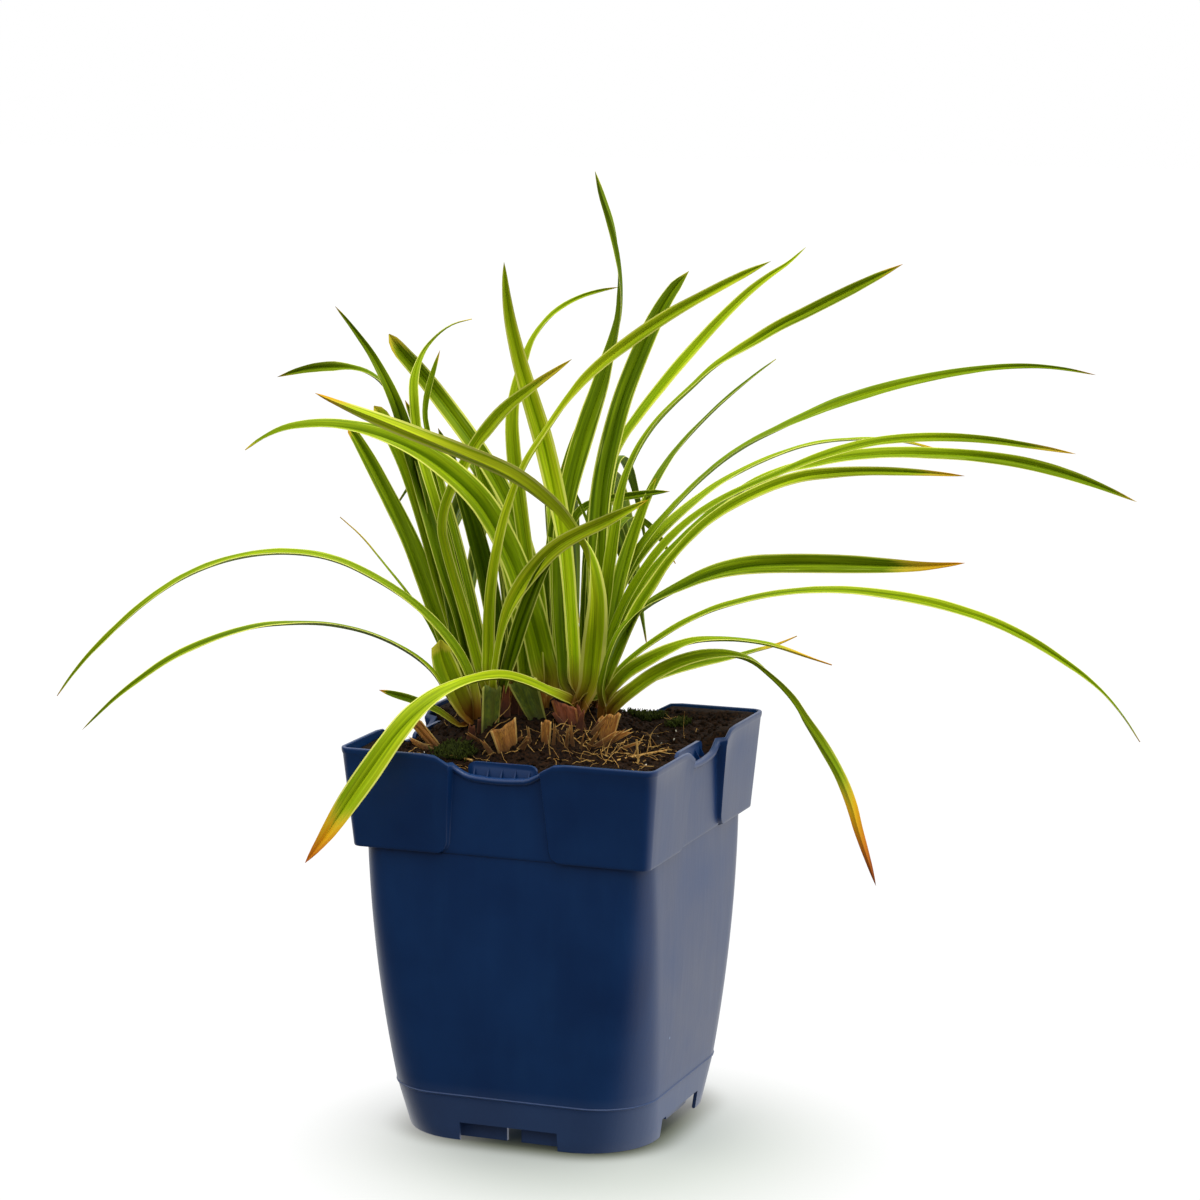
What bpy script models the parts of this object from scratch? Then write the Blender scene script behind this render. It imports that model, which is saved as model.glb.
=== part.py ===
"""Potted japanese sedge: a square plastic nursery pot filled with peat, and a tuft of long arching leaves.

Lengths are in millimetres in this script and become metres when a mesh is made. The origin is the middle of
the pot's base, on the ground. The pot's sides face X and Y, and +Z is up."""

import math
import random

import bmesh
import bpy
import numpy as np
from mathutils import Vector
from mathutils.bvhtree import BVHTree
from mathutils.geometry import delaunay_2d_cdt

MM = 0.001
GAP = 0.3

# Pot: half widths of its square outline at each level, and the radius of the outline's corners there
POT_HEIGHT = 144.5
RIM_HALF = 60.0
RIM_CORNER = 4.5
COLLAR_Z = 108.0
COLLAR_HALF = 56.7
COLLAR_CORNER = 3.5
BODY_TOP_HALF = 54.8
BODY_TOP_CORNER = 11.0
FOOT_BAND_Z = 17.5
FOOT_BAND_HALF = 50.1
FOOT_BAND_CORNER = 22.0
BASE_HALF = 47.5
BASE_CORNER = 26.0
BODY_BULGE = 1.4
WALL = 1.3
LIP_HEIGHT = 2.6
LIP_PROUD = 0.6
FLOOR_Z = 8.0
FLOOR_THICKNESS = 1.6
FOOT_STEP = 0.3
FOOT_FLARE = 0.9
BODY_LEVELS = (36.0, 56.0, 78.0)

# The recessed panel between two raised pads, the dip of the rim over it and the label pocket behind it
PANEL_TOP_HALF = 16.5
PANEL_BOTTOM_HALF = 19.0
PANEL_CORNER = 4.5
PANEL_SLOPE_WIDTH = 0.9
PANEL_RECESS_TOP = 3.6
PANEL_RECESS_BOTTOM = 1.3
DIP_DEPTH = 7.8
DIP_HALF = 30.0
POCKET_HALF = 13.0
POCKET_GAP = 3.2
POCKET_BOTTOM_Z = 127.0
POCKET_TOP_Z = 142.0
POCKET_RIB_SPACING = 8.8
POCKET_RIB_HALF = 0.5
PANEL_POINTS = (13.0, 6.5)

# Foot: a notch in the middle of each side, a rib behind it, drain holes in the floor and a stud under it
NOTCH_WIDTH = 38.0
NOTCH_HEIGHT = 7.0
RIB_INSET = 5.5
RIB_THICKNESS = 1.6
RIB_SLOT_HALF = 2.8
DRAIN_COUNT = 8
DRAIN_RADIUS = 4.0
DRAIN_RING_RADIUS = 27.0
STUD_RADIUS = 7.0

# Peat
SOIL_EDGE_Z = 133.5
SOIL_CROWN = (-6.0, -12.0)
SOIL_CROWN_Z = 144.5
SOIL_CROWN_SPREAD = 33.0
SOIL_TOP_HALF = 49.0
SOIL_TOP_STEP = 7.0
SOIL_SCATTER = 1.6
SOIL_ROUGHNESS = 0.7

# Leaves and the sheaths that they grow from
BLADE_THICKNESS = 0.7
BLADE_FOLD = 0.22
ROOT_WIDTH = 0.6
FULL_WIDTH_AT = 0.2
TAPER_FROM = 0.45
TAPER_POWER = 2.0
TIP_WIDTH = 0.09
CONTROL_STATIONS = 24
STATION_STEP = 18.0
MOST_STATIONS = 20
ROOT_SPIRAL = math.radians(137.5)
ROOT_OFFSET = 1.2
ROOT_LEVELS = (2.0, 10.0)
ROOT_SHOWN = (0.5, 0.75)
LOW_LEAF = 695
LOW_CLASP = 0.4
SHEATH_RADIUS = 3.9
SHEATH_TOP_RADIUS = 2.2
SHEATH_HEIGHT = 17.0
SHEATH_DEPTH = 9.0
SHEATH_SIDES = 8
HOLE_RISE = 20.0

# Where leaves of different shoots cross, they are bent apart until blades this much thicker no longer touch
CLEARANCE = 1.15
CLEAR_EDGE = 0.5
CLEAR_PUSH = 0.9
CLEAR_SPREAD = 2.5
CLEAR_ROUNDS = 110

# The leaves are drawn on an upright board through the pot's axis that faces a viewer at the pot's front
# right corner. Its origin is the middle of the rim. A leaf's route is given as it shows in the photograph, in
# steps of PICTURE_STEP millimetres from its top left corner, and its distance towards the viewer apart from that.
VIEW_TURN = math.radians(21.0)
VIEW_TIP = math.radians(9.7)
VIEW_DISTANCE = 1400.0
VIEW_AIM = (15.9, 46.6)
PICTURE_STEP = 0.365
PICTURE_MIDDLE = 600

ACROSS = np.array([math.cos(VIEW_TURN), math.sin(VIEW_TURN), 0.0])
TOWARD = np.array([
    math.sin(VIEW_TURN) * math.cos(VIEW_TIP),
    -math.cos(VIEW_TURN) * math.cos(VIEW_TIP),
    math.sin(VIEW_TIP),
])
UPWARD = np.cross(TOWARD, ACROSS)
BOARD_ORIGIN = np.array([0.0, 0.0, POT_HEIGHT])
EYE = BOARD_ORIGIN + ACROSS * VIEW_AIM[0] + UPWARD * VIEW_AIM[1] + TOWARD * VIEW_DISTANCE

# Where each shoot stands: millimetres across the board, and level towards the viewer
SHOOTS = {
    "shoot_left_front": (-31.0, -5.0),
    "shoot_left_back": (-32.0, -22.0),
    "shoot_left_inner": (-20.0, -11.0),
    "shoot_middle": (-6.0, -9.0),
    "shoot_right_inner": (7.0, -4.0),
    "shoot_right_outer": (12.0, -15.5),
    "shoot_right_front": (18.0, -3.0),
    "shoot_back_left": (-15.0, -29.0),
    "shoot_back_middle": (1.0, -27.0),
    "shoot_back_right": (12.0, -37.0),
}

# Leaves that the viewer sees: shoot, full width in millimetres, distance towards the viewer at even steps from
# root to tip, and the route over the picture as x, y and the width that shows there. A negative width is the
# blade's other face, after it has turned over
DRAWN_LEAVES = [
    ("shoot_left_front", 6.5, (-14, -28, -42),
     [(474, 692, 10), (460, 657, 10), (438, 628, 9), (408, 600, 7), (370, 576, 6), (330, 558.5, 5.5),
      (283, 552.5, 5), (235, 558, 4.5), (190, 574, 4.5), (150, 599, 5), (110, 634, 5), (80, 665, 4), (57, 696, 1)]),
    ("shoot_left_front", 4.5, (10, 22, 34, 45),
     [(460, 712, 6), (445, 690, 5), (428, 667, 3), (400, 647, 1.5), (365, 632, 1), (325, 624, 1.2),
      (290, 623.5, 2.5), (255, 627, 4.5), (215, 638.5, 6.5), (175, 656, 6.5), (140, 679, 5), (110, 702.5, 3.5),
      (82, 730, 1)]),
    ("shoot_left_front", 3.5, (8, 14),
     [(460, 726, 5), (438, 711, 6), (412, 699.5, 8), (395, 694.5, 7), (379, 690, 2)]),
    ("shoot_left_front", 9.5, (2, 4, 6),
     [(466, 712, 18), (455, 690, 24), (446, 668, 25), (441, 652, 20), (441, 640, 16)]),
    ("shoot_left_back", 5.0, (-30, -42, -55),
     [(462, 690, 8), (450, 620, 8), (438, 555, 8), (425, 490, 8), (410, 440, 7), (392, 400, 4), (378, 378, 1.5),
      (366, 372.5, 2), (352, 368, 6), (335, 366.5, 10.5), (315, 367.5, 9.5), (295, 371.5, 6), (277, 377, 1)]),
    ("shoot_left_back", 7.0, (-16, -8, 2),
     [(476, 690, 14), (462, 625, 16), (445, 570, 17), (428, 510, 17), (412, 455, 16), (400, 415, 14),
      (388, 385, 12), (372, 355, 8.5), (358, 335, 6), (345, 318, 3.5), (335, 306, 1)]),
    ("shoot_left_back", 8.0, (-34, -50),
     [(470, 700, 16), (455, 660, 20), (440, 620, 21), (425, 580, 20), (409, 540, 18), (390, 500, 16.5),
      (372, 465, 15), (356, 437, 11), (348, 426, 8)]),
    ("shoot_left_back", 1.6, (-42, -60),
     [(455, 680, 4), (430, 625, 4), (405, 590, 3), (385, 565, 1.5), (362, 537, 0.8), (340, 517, 0.5)]),
    ("shoot_left_back", 7.0, (-30, -42),
     [(474, 700, 14), (458, 640, 16), (440, 580, 17), (424, 520, 17), (408, 470, 17), (392, 435, 16),
      (380, 412, 13), (374, 406, 8)]),
    ("shoot_left_inner", 3.0, (-18, -22),
     [(490, 690, 6), (470, 600, 6), (450, 520, 6), (432, 450, 6), (425, 415, 5.5), (427, 395, 6.5), (433, 372, 5.5),
      (440, 350, 1)]),
    ("shoot_left_inner", 4.2, (-14, -26, -36),
     [(488, 690, 8), (462, 600, 9), (440, 520, 10), (420, 450, 10), (414, 400, 10), (414, 380, 9), (421, 355, 4.5),
      (432, 340, 3), (445, 328, 1.5), (460, 321.5, 1.2), (472, 319, 0.8)]),
    ("shoot_left_inner", 5.5, (0, 12, 24),
     [(488, 690, 11), (468, 620, 11), (450, 560, 10), (443, 525, 10), (450, 495, 10), (462, 470, 10),
      (475, 445, 12), (490, 425, 14), (505, 408, 12.5), (520, 396, 11), (540, 381, 8), (556, 370, 5.5),
      (572, 359, 1)]),
    ("shoot_left_inner", 5.5, (6, 32, 52, 62),
     [(489, 690, 12), (489, 640, 12), (491, 600, 12), (496, 560, 10), (506, 515, 9), (516, 487, 8), (524, 467, 4),
      (534, 450, 4.5), (547, 430, 5), (562, 408, 5.5), (580, 385, 8), (600, 365, 11), (630, 341, 12.5),
      (665, 317, 12), (700, 297, 9.5), (740, 276, 8), (771, 261, 1)]),
    ("shoot_left_inner", 6.5, (16, 38, 62),
     [(495, 690, 6), (499, 650, 6), (506, 618, 10), (518, 592, 15), (535, 568, 17), (555, 548, 16),
      (578, 534, 14), (600, 524, 12.5), (620, 514, 9.5), (648, 500, 2)]),
    ("shoot_middle", 11.0, (2, 14, 28, 40),
     [(549, 690, 30), (541, 655, 29), (532, 620, 27), (518, 575, 25), (500, 535, 25), (478, 500, 25),
      (450, 473, 23), (420, 452, 20), (390, 438, 16), (360, 429.5, 12), (330, 425, 8), (300, 426, 7),
      (272, 433, 5), (245, 450, 1)]),
    ("shoot_middle", 7.0, (-14, -20, -24),
     [(543, 690, 14), (541, 640, 14), (536, 590, 15), (524, 545, 16), (507, 500, 17), (488, 465, 18),
      (468, 435, 19), (448, 408, 19), (428, 382, 18), (410, 361, 17), (395, 344, 14), (389, 334, 9)]),
    ("shoot_right_inner", 7.8, (0, 10, 30),
     [(574, 690, 12), (572, 650, 13), (569, 610, 14), (566, 570, 14), (560, 520, 17), (552, 480, 20),
      (543, 440, 20.5), (534, 410, 19), (525, 380, 17), (518, 355, 15), (511, 325, 12.5), (507, 300, 9.5),
      (505, 280, 6), (504, 262, 1)]),
    ("shoot_middle", 6.0, (-10, -14, -16),
     [(540, 690, 12), (535, 620, 13), (528, 560, 14), (520, 500, 15), (514, 450, 15), (513, 415, 13),
      (519, 380, 10), (528, 352, 8), (536, 334, 5), (548, 319, 2), (562, 307, 2.5), (580, 297, 5),
      (600, 290.5, 3.5), (619, 287, 1)]),
    ("shoot_right_inner", 8.0, (-12, -16, -14, -6),
     [(567, 690, 10), (563, 640, 12), (561, 590, 14), (562, 545, 16), (568, 500, 18), (577, 460, 21),
      (589, 420, 21), (601, 385, 17), (611, 350, 11), (618, 325, 7), (620.5, 300, 4.5), (620, 280, 3),
      (619, 266, 0), (617, 250, -3.5), (612.5, 228, -7.5), (605, 205, -8), (599, 186, -4.5), (595, 171, -1)]),
    ("shoot_right_inner", 8.5, (14, 32, 48, 56, 60),
     [(568, 701, 8), (550, 693, 8), (530, 684, 8), (505, 677, 9.5), (480, 679, 6.5), (458, 685.5, 9),
      (435, 697, 13), (412, 716, 18), (390, 742, 21), (368, 773, 23), (347, 803, 21), (328, 832, 15),
      (315, 850, 8), (305, 863, 2)]),
    ("shoot_right_inner", 9.0, (8, 26, 42, 50, 56),
     [(585, 697, 19), (590, 680, 22.5), (592, 660, 23.5), (594, 635, 23.5), (595.5, 610, 21), (594, 585, 16),
      (590, 562, 9), (584, 545, 0), (572, 529, -8), (559, 513, -11), (541, 496, -13), (520, 480, -16),
      (498, 468, -16), (470, 456, -15), (435, 442, -15), (400, 428, -15), (370, 416, -12), (345, 406, -7.5),
      (315, 393, -2)]),
    ("shoot_right_inner", 8.0, (-14, -24, -34),
     [(590, 690, 10), (597, 640, 12), (598, 600, 15), (598, 560, 19), (599, 520, 21), (603, 480, 21),
      (611, 440, 21), (622, 400, 20), (635, 365, 19.5), (650, 330, 18), (664, 303, 14.5), (677, 284, 11),
      (689, 271, 2)]),
    ("shoot_right_inner", 5.5, (-22, -44, -64),
     [(590, 690, 8), (596, 640, 8), (592, 580, 9), (595, 530, 9), (602, 495, 9), (611, 465, 9.5), (624, 438, 8.5),
      (641, 414, 10), (660, 389, 11), (681, 363, 11.5), (700, 341, 11), (722, 317, 10), (748, 292, 8.5),
      (772, 273.5, 6), (792, 260, 3), (806, 247, 1)]),
    ("shoot_right_inner", 6.0, (-2, 12, 26),
     [(596, 690, 8), (602, 650, 9), (606, 600, 12), (611, 560, 13), (617, 520, 12), (624, 485, 8), (634, 458, 5),
      (647, 435, 3.5), (665, 412, 2.5), (683, 396, 2.5), (702, 377, 3.5), (722, 361, 5), (747, 346, 8),
      (775, 328, 11), (810, 310, 11.5), (848, 291, 11), (878, 276, 7.5), (903, 264, 1)]),
    ("shoot_right_outer", 5.0, (-30, -50, -72),
     [(604, 680, 8), (609, 645, 11), (616, 605, 12), (624, 570, 12.5), (634, 535, 11), (645, 505, 9),
      (657, 480, 8), (668, 462, 6.5), (680, 446, 4.5), (697, 427, 2), (718, 406, 1.5), (740, 387, 2.5),
      (760, 371, 2.5), (776, 359, 1)]),
    ("shoot_right_outer", 5.5, (-28, -46, -70),
     [(602, 690, 8), (607, 650, 9), (614, 610, 10), (625, 577, 10), (640, 549, 8), (660, 523, 5), (682, 498, 4),
      (708, 473, 3), (738, 450, 3.5), (770, 433, 5), (805, 417, 8), (840, 402.5, 11), (880, 389.5, 11),
      (925, 378.5, 9), (975, 370, 7), (1025, 366, 5), (1065, 369, 3.5), (1096, 375, 1)]),
    ("shoot_right_outer", 5.5, (-8, 8, 28),
     [(602, 690, 8), (608, 650, 9), (622, 610, 9), (640, 578, 9), (660, 550, 8), (682, 528, 7), (708, 508, 6),
      (740, 491, 5), (770, 478, 6), (805, 463, 8), (840, 451, 8), (880, 441.5, 9), (930, 437.5, 8.5),
      (980, 439, 8), (1025, 445, 6), (1052, 449.5, 4), (1076, 454, 1)]),
    ("shoot_right_outer", 6.0, (-20, -22, -18),
     [(602, 690, 8), (607, 660, 8), (620, 625, 8), (640, 590, 7), (665, 557, 6), (690, 532, 5), (715, 510, 5),
      (742, 490, 5), (772, 475, 8), (805, 466, 9), (840, 458, 11), (885, 453.5, 11), (930, 453.5, 11),
      (980, 456.5, 12), (1025, 463, 12.5), (1065, 473.5, 11), (1100, 486, 7), (1137, 502, 1)]),
    ("shoot_right_outer", 4.6, (-36, -62, -88),
     [(600, 690, 8), (604, 650, 8), (613, 608, 10), (626, 577, 12), (642, 552, 12), (661, 531, 10), (681, 513, 9),
      (701, 497, 7), (722, 482, 5), (752, 466, 3.5), (782, 453, 3), (812, 444, 2.5), (842, 440, 2.2),
      (875, 439, 2), (905, 442, 2), (932, 448.5, 2.5), (962, 458, 1)]),
    ("shoot_right_outer", 4.5, (-26, -42),
     [(612, 700, 6), (640, 683, 10), (670, 672, 10), (700, 664, 8), (730, 658.5, 5), (755, 651, 3),
      (775, 645.5, 2), (797, 636, 0.8)]),
    ("shoot_right_front", 5.5, (10, 38, 66),
     [(603, 692, 10), (612, 665, 12), (625, 635, 12), (640, 605, 11), (655, 583, 10), (670, 561, 8),
      (686, 543, 8), (703, 526, 9), (722, 512, 9), (742, 500, 10), (770, 487, 11), (800, 477, 11),
      (830, 473, 11), (862, 471, 9), (900, 471.5, 8), (935, 473.5, 5), (965, 476, 1)]),
    ("shoot_right_front", 7.5, (6, 22, 38),
     [(602, 690, 5), (610, 655, 5), (622, 630, 4), (640, 611, 3), (660, 598, 5), (680, 588, 9), (700, 578.5, 12),
      (722, 571, 15), (750, 565.5, 18), (785, 563.5, 19), (820, 563.5, 19), (860, 564.5, 17.5), (900, 566, 13),
      (930, 566, 8), (965, 563, 1)]),
    ("shoot_right_front", 5.0, (0, -8, -18),
     [(608, 690, 5), (620, 670, 5), (640, 652, 5), (660, 638, 6), (680, 625.5, 6), (705, 613, 5), (738, 602.5, 5),
      (770, 595.5, 6), (800, 592, 7), (835, 590.5, 7), (870, 593, 8), (905, 598, 9.5), (940, 605, 10),
      (970, 614, 9), (1000, 625, 9), (1030, 640, 8.5), (1060, 659, 7), (1080, 673, 5), (1100, 690, 3),
      (1120, 712, 1.5), (1140, 742, 0.8)]),
    ("shoot_right_front", 5.5, (12, 24, 34),
     [(612, 690, 10), (628, 672, 14), (648, 660, 14), (672, 649, 10), (697, 641, 4.5), (730, 639.5, 3),
      (758, 642.5, 3), (780, 647.5, 2.5), (805, 656, 1.2), (832, 665, 0.6)]),
    ("shoot_right_front", 5.5, (14, 30, 42, 50),
     [(610, 710, 12), (627, 694, 14), (650, 677, 14), (680, 662, 13), (710, 655, 11), (735, 656, 6),
      (750, 660, 1), (766, 672, -1.5), (781, 686, -3), (795, 703, -5), (806, 721, -8), (824, 748, -10),
      (840, 776, -11), (851, 803, -11), (859, 832, -9), (868, 860, -6), (876, 886, -1)]),
    ("shoot_back_middle", 4.0, (-30, -30, -24),
     [(570, 660, 7), (567, 600, 8), (568, 550, 8), (574, 520, 8), (586, 506, 8), (607, 499, 8), (632, 495.5, 8),
      (653, 492.5, 6), (670, 491.5, 1)]),
    ("shoot_back_middle", 3.0, (-26, -20),
     [(590, 660, 4), (606, 610, 4), (600, 565, 3.5), (588, 525, 3), (577, 498, 2.5), (568, 478, 2), (562, 465, 1)]),
    ("shoot_left_inner", 5.5, (10, 22, 34),
     [(503, 690, 8), (510, 660, 14), (519, 628, 16), (530, 597, 15), (541, 572, 12), (553, 553, 6)]),
]

# Leaves behind the crown, which the viewer doesn't see: shoot, heading in degrees from +X, reach, rise and
# the height of the tip over the rim
HIDDEN_LEAVES = [
    ("shoot_back_left", 124, 132, 190, -14),
    ("shoot_back_left", 131, 104, 170, 20),
    ("shoot_back_left", 146, 76, 180, 30),
    ("shoot_back_left", 168, 66, 170, 70),
    ("shoot_back_middle", 114, 146, 186, -20),
    ("shoot_back_middle", 119, 92, 150, 40),
    ("shoot_back_middle", 107, 100, 165, 16),
    ("shoot_back_right", 102, 112, 200, 4),
    ("shoot_back_right", 97, 66, 190, 50),
    ("shoot_back_right", 88, 40, 140, 34),
    ("shoot_back_right", 72, 34, 130, 52),
]
HIDDEN_WIDTH = (5.5, 8.5)
HIDDEN_SWAY = 14.0
HIDDEN_BOW = (0.16, 0.78)
HIDDEN_TURNS = (30, 20, 50)

# Cut-back leaves and dead ones by the crown: across, level towards the viewer, height, width, and the lean
# and turn in degrees
CUT_STUBS = {
    "cut_stub_green": (-24.5, 5.0, 16.0, 7.5, 4.0, 25.0),
    "cut_stub_broad": (-4.5, 4.0, 16.0, 9.5, -22.0, -10.0),
    "cut_stub_tan_left": (-16.5, 19.0, 10.0, 9.0, -10.0, 20.0),
    "cut_stub_tan_middle": (-4.0, 17.0, 9.0, 4.0, 3.0, -25.0),
    "dead_leaf_tan": (-40.0, 5.0, 10.0, 5.0, -38.0, 0.0),
    "sheath_red_brown": (6.0, 6.0, 9.0, 8.5, -14.0, 15.0),
    "sheath_tan": (16.0, 9.0, 10.0, 8.0, 14.0, -20.0),
}
STUB_THICKNESS = 1.6
STUB_DEPTH = 6.0
STUB_SLANT = 1.8
STUB_FOOT = 0.8
STUB_HOLE_RISE = 12.0

# Loose straw in the peat: ends across and level towards the viewer, its radius, and how high one end stands
STRAWS = {
    "straw_right": ((22.0, 22.0), (40.0, 12.0), 0.6, 1.5),
    "straw_front": ((2.0, 34.0), (26.0, 40.0), 0.5, 1.0),
    "straw_upright": ((30.0, 24.0), (29.0, 25.0), 0.5, 9.0),
    "straw_left": ((-44.0, 14.0), (-30.0, 24.0), 0.6, 1.0),
}
STRAW_DEPTH = 4.0
STRAW_SIDES = 6


def clear_scene():
    for obj in list(bpy.data.objects):
        bpy.data.objects.remove(obj, do_unlink=True)


def linear(code):
    """A colour written as sRGB hex, as the linear values that a shader takes."""
    values = [int(code[i : i + 2], 16) / 255 for i in (1, 3, 5)]
    return [v / 12.92 if v <= 0.04045 else ((v + 0.055) / 1.055) ** 2.4 for v in values] + [1.0]


def make_material(name, colour, roughness):
    material = bpy.data.materials.new(name)
    material.use_nodes = True
    shader = material.node_tree.nodes["Principled BSDF"]
    shader.inputs["Base Color"].default_value = linear(colour)
    shader.inputs["Roughness"].default_value = roughness
    shader.inputs["Metallic"].default_value = 0.0
    material.diffuse_color = linear(colour)
    return material


def make_object(name, points, faces, material=None):
    mesh = bpy.data.meshes.new(name)
    mesh.from_pydata([tuple(float(v) * MM for v in point) for point in points], [], faces)
    obj = bpy.data.objects.new(name, mesh)
    bpy.context.scene.collection.objects.link(obj)
    if material:
        mesh.materials.append(material)
    return obj


def apply_modifiers(obj):
    graph = bpy.context.evaluated_depsgraph_get()
    mesh = bpy.data.meshes.new_from_object(obj.evaluated_get(graph))
    obj.modifiers.clear()
    obj.data = mesh


def apply_boolean(obj, operation, others):
    """Joins or cuts with all the other objects in one Boolean, and removes them."""
    collection = bpy.data.collections.new(obj.name + "_" + operation.lower())
    bpy.context.scene.collection.children.link(collection)
    for other in others:
        bpy.context.scene.collection.objects.unlink(other)
        collection.objects.link(other)
    modifier = obj.modifiers.new(operation.title(), "BOOLEAN")
    modifier.operation = operation
    modifier.operand_type = "COLLECTION"
    modifier.collection = collection
    modifier.solver = "EXACT"
    apply_modifiers(obj)
    for other in others:
        bpy.data.objects.remove(other, do_unlink=True)
    bpy.data.collections.remove(collection)


def keep_outer_skin(obj):
    """Fills the hollows that a join encloses and drops the scraps that a cut leaves: only the largest skin
    stays."""
    mesh = bmesh.new()
    mesh.from_mesh(obj.data)
    left = set(mesh.verts)
    skins = []
    while left:
        waiting = [left.pop()]
        skin = list(waiting)
        while waiting:
            for edge in waiting.pop().link_edges:
                for vert in edge.verts:
                    if vert in left:
                        left.remove(vert)
                        waiting.append(vert)
                        skin.append(vert)
        skins.append(skin)
    skins.sort(key=len)
    for skin in skins[:-1]:
        bmesh.ops.delete(mesh, geom=skin, context="VERTS")
    mesh.to_mesh(obj.data)
    mesh.free()


def box(name, low, high, turn=0):
    """A box between two corners, turned about Z by a number of quarter turns."""
    corners = [(x, y, z) for z in (low[2], high[2]) for y in (low[1], high[1]) for x in (low[0], high[0])]
    for _ in range(turn):
        corners = [(-y, x, z) for x, y, z in corners]
    faces = [(0, 2, 3, 1), (4, 5, 7, 6), (0, 1, 5, 4), (2, 6, 7, 3), (0, 4, 6, 2), (1, 3, 7, 5)]
    return make_object(name, corners, faces)


def tube_between(name, start, end, radius, sides, end_radius=None):
    """A straight round bar, or a tapering one."""
    start, end = np.array(start, float), np.array(end, float)
    axis = (end - start) / np.linalg.norm(end - start)
    helper = np.array([1.0, 0.0, 0.0]) if abs(axis[2]) > 0.7 else np.array([0.0, 0.0, 1.0])
    first = np.cross(axis, helper)
    first /= np.linalg.norm(first)
    second = np.cross(axis, first)
    points = []
    for centre, size in ((start, radius), (end, radius if end_radius is None else end_radius)):
        for i in range(sides):
            angle = 2 * math.pi * i / sides
            points.append(centre + size * (math.cos(angle) * first + math.sin(angle) * second))
    faces = [(i, (i + 1) % sides, sides + (i + 1) % sides, sides + i) for i in range(sides)]
    faces += [tuple(range(sides))[::-1], tuple(range(sides, 2 * sides))]
    return make_object(name, points, faces)


def smooth_step(share):
    share = min(1.0, max(0.0, share))
    return share * share * (3 - 2 * share)


def body_half(z):
    """Half width and corner radius of the pot's body at a height, from the foot band up to the collar."""
    share = (z - FOOT_BAND_Z) / (COLLAR_Z - FOOT_BAND_Z)
    half = FOOT_BAND_HALF + (BODY_TOP_HALF - FOOT_BAND_HALF) * share + 4 * BODY_BULGE * share * (1 - share)
    return half, FOOT_BAND_CORNER + (BODY_TOP_CORNER - FOOT_BAND_CORNER) * share


def collar_half(z):
    share = (z - COLLAR_Z) / (POT_HEIGHT - COLLAR_Z)
    half = COLLAR_HALF + (RIM_HALF - COLLAR_HALF) * share
    return half, COLLAR_CORNER + (RIM_CORNER - COLLAR_CORNER) * share


def panel_half(z):
    """Half width of the recessed panel: wider at the bottom, where the pads' corners are round."""
    share = (z - COLLAR_Z) / (POT_HEIGHT - COLLAR_Z)
    half = PANEL_BOTTOM_HALF + (PANEL_TOP_HALF - PANEL_BOTTOM_HALF) * share
    below = max(0.0, PANEL_CORNER - (z - COLLAR_Z))
    return half + PANEL_CORNER - math.sqrt(PANEL_CORNER**2 - below**2)


def panel_recess(z):
    share = (z - COLLAR_Z) / (POT_HEIGHT - COLLAR_Z)
    return PANEL_RECESS_BOTTOM + (PANEL_RECESS_TOP - PANEL_RECESS_BOTTOM) * share


def rim_dip(along):
    """How far the rim's edge lies under its corners, at a distance along a side from its middle."""
    return DIP_DEPTH * math.cos(math.pi * along / (2 * DIP_HALF)) ** 2 if abs(along) < DIP_HALF else 0.0


def pot_ring(z, half, corner, recess=0.0, panel=PANEL_BOTTOM_HALF, dip=0.0):
    """One level of the pot: a square outline with round corners, a recess in the middle of each side, and
    its height lowered by a share of the rim's dip. Every ring has the same number of points."""
    slope_end = panel + PANEL_SLOPE_WIDTH
    inner = [slope_end, panel, *PANEL_POINTS]
    outer = [0.5 * (DIP_HALF + slope_end), DIP_HALF]
    along_side = [-v for v in reversed(outer)] + [-v for v in inner] + [0.0] + inner[::-1] + outer
    points = []
    for quarter in range(4):
        side = []
        for along in along_side:
            depth = recess if abs(along) <= panel else 0.0
            side.append((along, -(half - depth), z - dip * rim_dip(along)))
        for i in range(5):
            angle = -math.pi / 2 + math.pi / 2 * i / 4
            reach = half - corner
            side.append((reach + corner * math.cos(angle), -reach + corner * math.sin(angle), z))
        for _ in range(quarter):
            side = [(-y, x, height) for x, y, height in side]
        points += side
    return points


def loft(name, rings, material, top=None):
    """A closed skin through rings of equal length, with a flat cap on the first, and on the last a cap, or
    a top given as its points inside the ring and the faces between both."""
    size = len(rings[0])
    points = [point for ring in rings for point in ring]
    faces = []
    for level in range(len(rings) - 1):
        for i in range(size):
            j = (i + 1) % size
            low, high = level * size, (level + 1) * size
            faces.append((low + i, low + j, high + j, high + i))
    faces.append(tuple(range(size))[::-1])
    last = (len(rings) - 1) * size
    if top is None:
        faces.append(tuple(range(last, last + size)))
    else:
        points += top[0]
        faces += [tuple(last + i for i in face) for face in top[1]]
    return make_object(name, points, faces, material)


def collar_ring(z, inset, dip=0.0, proud=0.0):
    half, corner = collar_half(z)
    recess = panel_recess(z)
    return pot_ring(z, half - inset + proud, max(1.0, corner - inset), recess, panel_half(z) + inset, dip)


def body_ring(z, inset):
    half, corner = body_half(z)
    return pot_ring(z, half - inset, corner - inset)


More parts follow.
